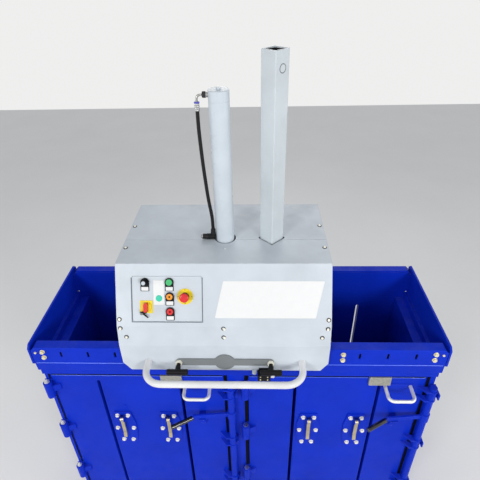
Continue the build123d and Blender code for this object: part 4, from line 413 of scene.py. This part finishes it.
def dress_panel():
    """Label holders with inserts, bare card and sticker, the small parts of the panel's devices, and dots of
    painted reflection on two lenses.
    """
    for name, (x, down) in BUTTONS.items():
        cut_sheet(f"label_holder_{name}", rounded(32.0, 34.0, 3.0), 2.2,
                  on_slope(x, down + 17.0, PANEL_OUT), BLACK, "head")
        cut_sheet(f"label_insert_{name}", rounded(26.5, 14.0, 1.6), 0.5,
                  on_slope(x, down + 25.0, PLATE_OUT), WHITE, "head", 0.12)
    cut_sheet("notice_card", rounded(40.0, 92.0, 2.5), 0.5,
              on_slope(-239.0, 108.5, PANEL_OUT), WHITE, "head", 0.15)
    turned("notice_dot", ((0.0, 0.0), (12.4, 0.0), (12.4, 0.2), (12.0, 0.35), (0.0, 0.35)),
           on_slope(-238.5, 130.0, -0.5), TEAL, "head")
    cut_sheet("blank_label", rounded(373.0, 139.0, 4.0, slant=32.0), 0.45,
              on_slope(171.0, 134.5), WHITE, "head", 0.15)

    mark, mark_reach = [(2.6, -1.4), (0.0, 2.4), (-2.6, -1.4)], 25.5
    for number in range(4):
        turn = math.radians(90.0 * number)
        across, up = mark_reach * math.sin(turn), mark_reach * math.cos(turn)
        at = on_slope(STOP_AT[0] + across, STOP_AT[1] - up, PLATE_OUT) @ Matrix.Rotation(turn, 4, "Z")
        cut_sheet(f"stop_mark_{number + 1}", mark, 0.25, at, BLACK, "head", 0.08)
    knob_out, lens_out = 17.0, 24.2
    face = ((0.0, 0.0), (9.6, 0.0), (9.6, 7.0), (9.0, 7.8), (7.8, 7.8), (7.8, 7.2), (0.0, 7.2))
    turned("selector_face", face, on_slope(*BUTTONS["selector"], knob_out), BLACK, "selector_knob")
    turned("selector_lens", ((0.0, 0.0), (7.4, 0.0), (7.4, 1.2), (6.4, 2.0), (3.0, 2.5), (0.0, 2.6)),
           on_slope(*BUTTONS["selector"], lens_out), LIGHT_GREY, "selector_knob")
    turned("stop_flange", ((13.1, 0.0), (15.6, 0.0), (15.6, 4.2), (14.8, 5.0), (13.1, 5.0)),
           on_slope(*STOP_AT, PLATE_OUT), BLACK, "head", closed=True)
    # Black dots on the red button's and the lamp's lenses: painted dark reflection in their middles.
    for name, body, out in (("red", "red_button", 8.3), ("lamp", "head", 9.0)):
        turned(f"lens_reflection_{name}", ((0.0, 0.0), (3.4, 0.0), (3.2, 0.25), (2.0, 0.3), (0.0, 0.3)),
               on_slope(*BUTTONS[name], out), PAINTED_DARK, body)


def line_panel():
    """Painted shade: a dark line round three sides of the panel, where its gap shows."""
    left, right, head, foot = -340.75, -76.25, 52.0, 219.9
    thick, soft = 0.35, 0.1
    for name, x, width in (("left", left, 3.4), ("right", right, 2.4)):
        cut_sheet(f"panel_gap_shade_{name}", rounded(width, foot - head, 1.1), thick,
                  on_slope(x, (head + foot) / 2, 0.0), PANEL_GAP_SHADE, "head", soft)
    cut_sheet("panel_gap_shade_foot", rounded(right - left + 2.0, 2.6, 1.2), thick,
              on_slope((left + right) / 2, foot, 0.05), PANEL_GAP_SHADE, "head", soft)


def dress_main_switch():
    """Yellow dial round the red grip, with a lock, its strap and a key."""
    body = "main_switch"
    turned("dial_ring", ((18.1, 0.4), (18.9, 0.4), (18.9, 6.6), (18.1, 6.6)),
           on_slope(*DIAL_AT, PLATE_OUT), YELLOW, body, closed=True)
    moon_radius, moon_reach, moon_steps, moon_out = 18.6, 66.0, 20, 7.35
    bend = [math.radians(-moon_reach + 2.0 * moon_reach * i / moon_steps) for i in range(moon_steps + 1)]
    for number, side in ((1, -1), (2, 1)):
        moon = [(side * moon_radius * math.cos(a), moon_radius * math.sin(a)) for a in bend]
        cut_sheet(f"dial_moon_{number}", moon, 0.5, on_slope(*DIAL_AT, moon_out), YELLOW, body, 0.1)

    strap_steps, strap_radius = 28, 2.4
    loop_x, loop_down, loop_out = -294.0, 179.0, 14.0
    strap = []
    for i in range(strap_steps):
        a = 2.0 * math.pi * i / strap_steps
        x, out = loop_x + 11.0 * math.cos(a), loop_out + 9.0 * math.sin(a)
        strap.append(on_slope(x, loop_down + 1.5 * math.sin(2.0 * a), out).translation / MM)
    swept("switch_strap", strap, [strap_radius] * strap_steps, BLACK, body, closed=True)
    cut_sheet("switch_lock_body", rounded(12.0, 9.0, 3.0), 6.0,
              on_slope(-302.0, 187.0, 4.0), STRIP_GREY, body, 1.2)
    blade = [(-4.2, 4.5), (-3.2, 8.0), (3.2, 8.0), (4.2, 4.5), (3.2, 2.5), (3.2, -20.0), (1.6, -23.0),
             (-1.0, -21.5), (-2.2, -19.0), (-1.4, -17.0), (-3.0, -15.0), (-2.0, -12.5), (-3.2, -10.5),
             (-3.2, 2.5)]
    at = on_slope(-295.0, 187.0, 7.0) @ Matrix.Rotation(math.radians(48.0), 4, "Z")
    cut_sheet("switch_key", blade, 2.2, at, BLACK, body, 0.3)


# Head

BAND_DEPTH, BAND_HEIGHT = 19.0, 83.0
BAND_TOP = Vector((HEAD_MIDDLE, -272.0, 1322.0))
BAND_OUT = Vector((0.0, -BAND_HEIGHT, BAND_DEPTH)).normalized()
BAND_DOWN = Vector((0.0, -BAND_DEPTH, -BAND_HEIGHT)).normalized()
COVER_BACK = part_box("rear_cover")[1].y / MM


def screw_places():
    """Planes under the washers of the cover's screws: slope, top and front band."""
    lift = 0.05
    places = [on_slope(389.0 * side, 210.0, lift) for side in (-1, 1)]
    for side in (-1, 1):
        for y in (-57.0, 103.0):
            places.append(stand((HEAD_MIDDLE + 385.0 * side, y, HEAD_TOP + lift), UP))
    for rise, half in ((75.0, 387.0), (38.0, 367.5)):
        reach = math.hypot(BAND_DEPTH, BAND_HEIGHT) * (1.0 - rise / BAND_HEIGHT)
        for x in (-half, 0.0, half):
            at = BAND_TOP + Vector((x, 0.0, 0.0)) + BAND_DOWN * reach + BAND_OUT * lift
            places.append(stand(at, BAND_OUT))
    return places


def dress_covers():
    """Washers of the cover's screws, black partly as painted shade round their heads, and louvres with black
    strips of painted shade in their slits and screws on the back.
    """
    # Black washers under the cover's screws, whose dark ring also stands in as painted shade round the heads.
    for number, at in enumerate(screw_places()):
        turned(f"washer_and_shade_{number + 1}", ((5.3, 0.0), (8.4, 0.0), (8.4, 0.7), (7.6, 1.1), (5.3, 0.9)),
               at, BLACK, "head", sides=28, closed=True)
    louvre = ((-46.0, 1.0), (-43.0, 3.8), (-38.0, 4.6), (38.0, 4.6), (43.0, 3.8), (46.0, 1.0))
    louvre_sink, slot_drop = 3.9, 4.6
    rows, lowest, pitch = 7, 1300.0, 17.0
    for number in range(rows):
        z = lowest + pitch * number
        for side in (-1, 1):
            x = HEAD_MIDDLE + 90.0 * side
            points = [(x + step, COVER_BACK - louvre_sink, z) for step, _ in louvre]
            radii = [radius for _, radius in louvre]
            swept(f"vent_{number + 1}_{side + 1}", points, radii, GREY, "head")
            # Black strip under each louvre: painted shade of its open slit.
            cut_sheet(f"louvre_slit_shade_{number + 1}_{side + 1}", rounded(82.0, 3.0, 1.4), 0.4,
                      stand((x, COVER_BACK, z - slot_drop), BACK), PAINTED_DARK, "head", 0.1)
    screw = ((0.0, 0.0), (5.0, 0.0), (4.8, 0.5), (3.6, 0.9), (0.0, 1.0))
    washer = ((4.9, 0.0), (8.0, 0.0), (8.0, 0.3), (7.2, 0.6), (4.9, 0.5))
    for side in (-1, 1):
        for z in (1255.0, 1380.0, 1505.0):
            at = stand((HEAD_MIDDLE + 382.0 * side, COVER_BACK, z), BACK)
            turned(f"back_screw_{side + 1}_{round(z)}", screw, at, HEAD_ZINC, "head", sides=24)
            turned(f"back_washer_{side + 1}_{round(z)}", washer, at, BLACK, "head", sides=24, closed=True)
    turned("top_rivet", ((0.0, 0.0), (4.2, 0.0), (3.8, 1.2), (2.4, 2.0), (0.0, 2.3)),
           stand((-43.0, -64.0, HEAD_TOP), UP), ZINC, "head", sides=24)


def dress_guide_tube():
    """Dark sheets inside the guide tube's open mouth, raw dark steel and painted shade of the deep tube, and
    the round mark near it.
    """
    tube_x, tube_y, inner = 140.0, 15.0, 27.0
    lining_length, lining_middle = 296.0, 2080.0
    # Dark sheets on the four inner walls: raw dark steel, darkened also as painted shade deep in the tube.
    for number in range(4):
        turn = math.radians(45.0 + 90.0 * number)
        wall = (math.cos(turn), math.sin(turn), 0.0)
        middle = (tube_x + inner * wall[0], tube_y + inner * wall[1], lining_middle)
        cut_sheet(f"tube_steel_and_shade_{number + 1}", rounded(lining_length, 2 * inner, 1.0), 0.4,
                  stand(middle, wall, UP), RAW_STEEL_AND_SHADE, "press", 0.1)
    turned("tube_mark", ((12.2, 0.0), (15.2, 0.0), (14.6, 0.5), (12.8, 0.5)),
           stand((163.4, -7.6, 2176.0), (1.0, -1.0, 0.0)), STRIP_GREY, "press", closed=True)


def dress_position_switch():
    """White cap, tab and screws of the switch under the skirt."""
    turned("probe_cap", ((8.2, 0.0), (9.4, 0.5), (9.4, 11.5), (8.6, 14.0), (6.0, 15.6), (0.0, 15.9)),
           stand((134.0, -306.0, 1094.0), RIGHT, BACK), WHITE, "head")
    tab = [(-9.0, 0.0), (9.0, 0.0), (9.0, -19.0), (5.5, -27.0), (-5.0, -27.0), (-9.0, -21.0)]
    cut_sheet("skirt_tab", tab, 5.0, stand((71.0, -291.0, 1112.0), FRONT), LIGHT_GREY, "head", 0.8)
    for number, (x, z) in enumerate(((94.0, 1086.0), (94.0, 1102.0), (122.0, 1086.0), (122.0, 1102.0))):
        turned(f"probe_screw_{number + 1}", ((0.0, 0.0), (2.6, 0.0), (2.6, 1.0), (2.0, 1.5), (0.0, 1.5)),
               stand((x, -321.0, z), FRONT), BOLT_ZINC, "head", sides=20)


def dress_hose():
    """Crimp rings, marker ring and port nut at the hose's upper end, sleeves at its lower end."""
    hose_top = (-118.0, 10.0)
    for number, height in enumerate((2044.0, 2050.0, 2056.0, 2062.0)):
        turned(f"crimp_ring_{number + 1}", ((8.3, 0.0), (9.1, 0.4), (9.1, 2.6), (8.3, 3.0)),
               stand((*hose_top, height), UP), ZINC, "head", closed=True)
    turned("marker_ring", ((6.0, 0.0), (9.3, 0.3), (9.6, 1.6), (9.3, 3.6), (6.0, 4.0)),
           stand((*hose_top, 2067.5), UP), MARKER_BLUE, "head", closed=True)
    left = (-1.0, 0.0, 0.0)
    hex_head("port_nut", stand((-87.5, 15.0, 2093.0), left, UP), 19.0, 12.0, DARK_STEEL, "head")
    ribs = [(10.2, 0.0), (12.0, 0.8)]
    for i in range(6):
        foot = 5.0 * i
        ribs += [(12.0, 3.0 + foot), (10.9, 4.0 + foot), (10.9, 5.2 + foot), (12.0, 6.2 + foot)]
    ribs += [(12.0, 34.0), (10.6, 36.0), (10.6, 51.0), (9.0, 53.5), (7.6, 55.0), (7.6, 57.5), (0.0, 57.5)]
    turned("elbow_sleeve", ribs, stand((-80.0, 6.0, 1543.0), left, BACK), RUBBER, "head")
    sleeve = ((9.0, 0.0), (10.2, 1.0), (10.2, 9.0), (9.4, 11.0), (9.4, 24.0), (8.2, 27.0), (7.0, 27.5))
    turned("hose_sleeve", sleeve, stand((-90.0, 6.0, 1551.0), UP), RUBBER, "head")


# Frame and doors

DOOR_FACE = -254.0
RAIL_FACE = 271.5


def dress_rails():
    """Small end bolts, and dark plates that close the strap slots to the eye."""
    for side in (-1, 1):
        for face in (-1, 1):
            at = stand((795.5 * side, RAIL_FACE * face, 1176.0), (0.0, float(face), 0.0))
            hex_head(f"rail_end_bolt_{side + 1}_{face + 1}", at, 9.5, 4.2, BOLT_ZINC, "frame")
    shade, shade_face, shade_middle = rounded(8.6, 29.6, 4.2), 265.5, 1166.0
    # Dark plates in the header's strap slots: painted shade.
    for face in (-1, 1):
        for x in (-694.5, -586.5, -478.5, 478.5, 586.5, 694.5):
            at = stand((x, shade_face * face, shade_middle), (0.0, float(face), 0.0))
            cut_sheet(f"slot_shade_{face + 1}_{round(x)}", shade, 1.2, at, PAINTED_DARK, "frame", 0.2)


def dress_doors():
    """Black strips of painted shade beside and over the doors, bars of lighter blue as painted highlight on
    the folds, catch caps and a rivet.
    """
    shade_strip_height, shade_strip_middle = 884.0, 592.0
    # Black strips on the frame in the gaps beside the doors' edges: painted shade.
    for name, low, high in (("column_left", -55.0, -43.0), ("column_right", 28.0, 42.0),
                            ("right_post", 771.0, 783.0), ("left_post", -791.0, -784.5)):
        cut_sheet(f"door_gap_shade_{name}", rounded(high - low, shade_strip_height, 1.5), 1.2,
                  stand(((low + high) / 2, DOOR_FACE, shade_strip_middle), FRONT), PAINTED_DARK, "frame", 0.4)
    for hand, left, right in (("left", -776.0, -63.0), ("right", 50.0, 763.0)):
        body = f"{hand}_door"
        # Black strip on the door's top: painted shadow under the header.
        cut_sheet(f"top_shade_{hand}", rounded(right - left, 6.0, 1.5), 2.0,
                  stand(((left + right) / 2, DOOR_FACE, 1029.5), FRONT), PAINTED_DARK, body, 0.5)
        # Bar of lighter blue along the door's top fold: painted highlight.
        y, z = DOOR_FACE - 0.2, 1024.0
        swept(f"top_highlight_{hand}", [(left, y, z), (right, y, z)], [2.0, 2.0], BLUE_FOLD_HIGHLIGHT, body)
    # Bars of lighter blue along the rail lips' folds: painted highlight.
    for face in (-1, 1):
        half, y, z = 806.0, 271.2 * face, 1118.0
        swept(f"rail_highlight_{face + 1}", [(-half, y, z), (half, y, z)], [2.2, 2.2], BLUE_FOLD_HIGHLIGHT, "frame")
    cap = ((11.6, 0.0), (11.6, 9.0), (10.4, 12.6), (6.0, 14.4), (0.0, 15.0))
    for hand, x in (("left", -158.0), ("right", 668.0)):
        for z in (733.0, 773.0):
            at = stand((x, DOOR_FACE, z), FRONT)
            turned(f"catch_cap_{hand}_{round(z)}", cap, at, BLUE, f"{hand}_door", sides=28)
    turned("door_rivet", ((0.0, 0.0), (7.0, 0.0), (6.4, 2.2), (4.0, 4.0), (0.0, 4.6)),
           stand((-500.0, DOOR_FACE, 825.0), FRONT), BLUE, "left_door", sides=28)


def dress_hinges():
    """Weld beads under and over each hinge lug."""
    y, length, lug, radius = -255.0, 34.0, 25.0, 2.6
    for x, far in ((-795.0, -812.0), (31.0, 14.0)):
        for number, level in enumerate((913.5, 973.5, 633.5, 693.5, 292.5, 352.5)):
            for part, z in (("", level), ("top_", level + lug)):
                name = f"hinge_weld_{part}{round(x)}_{number}"
                weld(name, (far, y, z), (far + length, y, z), radius, BLUE, "frame")


# Floor, light and camera, in metres

def looked_at(tree):
    """1 for rays that the camera sees straight, in gloss or through glass, 0 for the light's other rays."""
    path = add_node(tree, "ShaderNodeLightPath")
    straight = maths(tree, "MAXIMUM", path.outputs["Is Camera Ray"], path.outputs["Is Glossy Ray"])
    return maths(tree, "MAXIMUM", straight, path.outputs["Is Transmission Ray"])


def stage_floor():
    """Plain pale floor; a little glow for the rays that looked_at names keeps its far part pale."""
    glow = 0.17
    bpy.ops.mesh.primitive_plane_add(size=14.0, location=(0.0, 0.0, 0.0))
    floor = bpy.context.object
    floor.name = "floor"
    material, tree, shader = new_material("pale floor")
    patches = span(tree, noise(tree, 1.5, 5.0), 0.3, 0.7)
    tone = mixed(tree, patches, (0.64, 0.632, 0.624), (0.606, 0.602, 0.594))
    tree.links.new(tone, shader.inputs["Base Color"])
    shader.inputs["Roughness"].default_value = 0.7
    bumps(tree, shader, noise(tree, 60.0, 4.0), 0.1, 0.002)
    shader.inputs["Emission Color"].default_value = (0.97, 0.97, 0.96, 1.0)
    tree.links.new(maths(tree, "MULTIPLY", looked_at(tree), glow), shader.inputs["Emission Strength"])
    floor.data.materials.append(material)


def area_light(name, location, target, size, energy):
    """A rectangular lamp that looks at target, of size in metres and energy in watts."""
    lamp = bpy.data.lights.new(name, "AREA")
    lamp.shape = "RECTANGLE"
    lamp.size, lamp.size_y = size
    lamp.energy = energy
    holder = bpy.data.objects.new(name, lamp)
    holder.location = location
    holder.rotation_euler = (Vector(target) - Vector(location)).to_track_quat("-Z", "Y").to_euler()
    bpy.context.scene.collection.objects.link(holder)


def stage_lights():
    """Soft studio lamps: two in front, a wash from each side and one behind."""
    area_light("left light", (-2.1, -3.7, 3.0), (0.0, -0.2, 1.0), (1.0, 1.0), 65.5)
    area_light("right light", (2.2, -3.9, 2.6), (0.0, -0.2, 1.0), (0.9, 0.9), 78.0)
    area_light("left wash", (-4.0, -1.3, 1.7), (0.0, 0.0, 1.5), (1.6, 1.6), 30.0)
    area_light("right wash", (4.0, -1.3, 1.7), (0.0, 0.0, 1.5), (1.6, 1.6), 30.0)
    area_light("back light", (0.3, 2.8, 3.0), (0.0, 0.0, 1.3), (2.4, 1.2), 20.0)


def stage_world():
    """Even light from all round, before a pale background."""
    world = bpy.data.worlds.new("studio")
    bpy.context.scene.world = world
    world.use_nodes = True
    tree = world.node_tree
    light = tree.nodes["Background"]
    light.inputs["Color"].default_value = (0.9, 0.94, 1.0, 1.0)
    light.inputs["Strength"].default_value = 0.44
    seen = add_node(tree, "ShaderNodeBackground")
    seen.inputs["Color"].default_value = (0.86, 0.86, 0.855, 1.0)
    inputs = {0: looked_at(tree), 1: light.outputs[0], 2: seen.outputs[0]}
    blend = add_node(tree, "ShaderNodeMixShader", inputs)
    tree.links.new(blend.outputs[0], tree.nodes["World Output"].inputs["Surface"])


def stage_camera():
    """The photograph's camera: place, direction and lens worked out from the object's own corners."""
    yaw, pitch, roll = math.radians(-2.43), math.radians(33.19), math.radians(-1.48)
    forward = Vector((math.sin(yaw) * math.cos(pitch), math.cos(yaw) * math.cos(pitch), -math.sin(pitch)))
    right = forward.cross(Vector(UP)).normalized()
    up = right.cross(forward)
    right, up = right * math.cos(roll) + up * math.sin(roll), up * math.cos(roll) - right * math.sin(roll)
    camera = bpy.data.cameras.new("camera")
    camera.lens = 32.945
    camera.sensor_width = 36.0
    camera.clip_start = 0.05
    holder = bpy.data.objects.new("camera", camera)
    turn = Matrix((right, up, -forward)).transposed().to_4x4()
    holder.matrix_world = Matrix.Translation((0.0766, -1.4575, 2.4827)) @ turn
    bpy.context.scene.collection.objects.link(holder)
    bpy.context.scene.camera = holder


dress_panel()
line_panel()
dress_main_switch()
dress_covers()
dress_guide_tube()
dress_position_switch()
dress_hose()
dress_rails()
dress_doors()
dress_hinges()
stage_floor()
stage_world()
stage_camera()
stage_lights()
bpy.context.scene.view_settings.view_transform = "Standard"
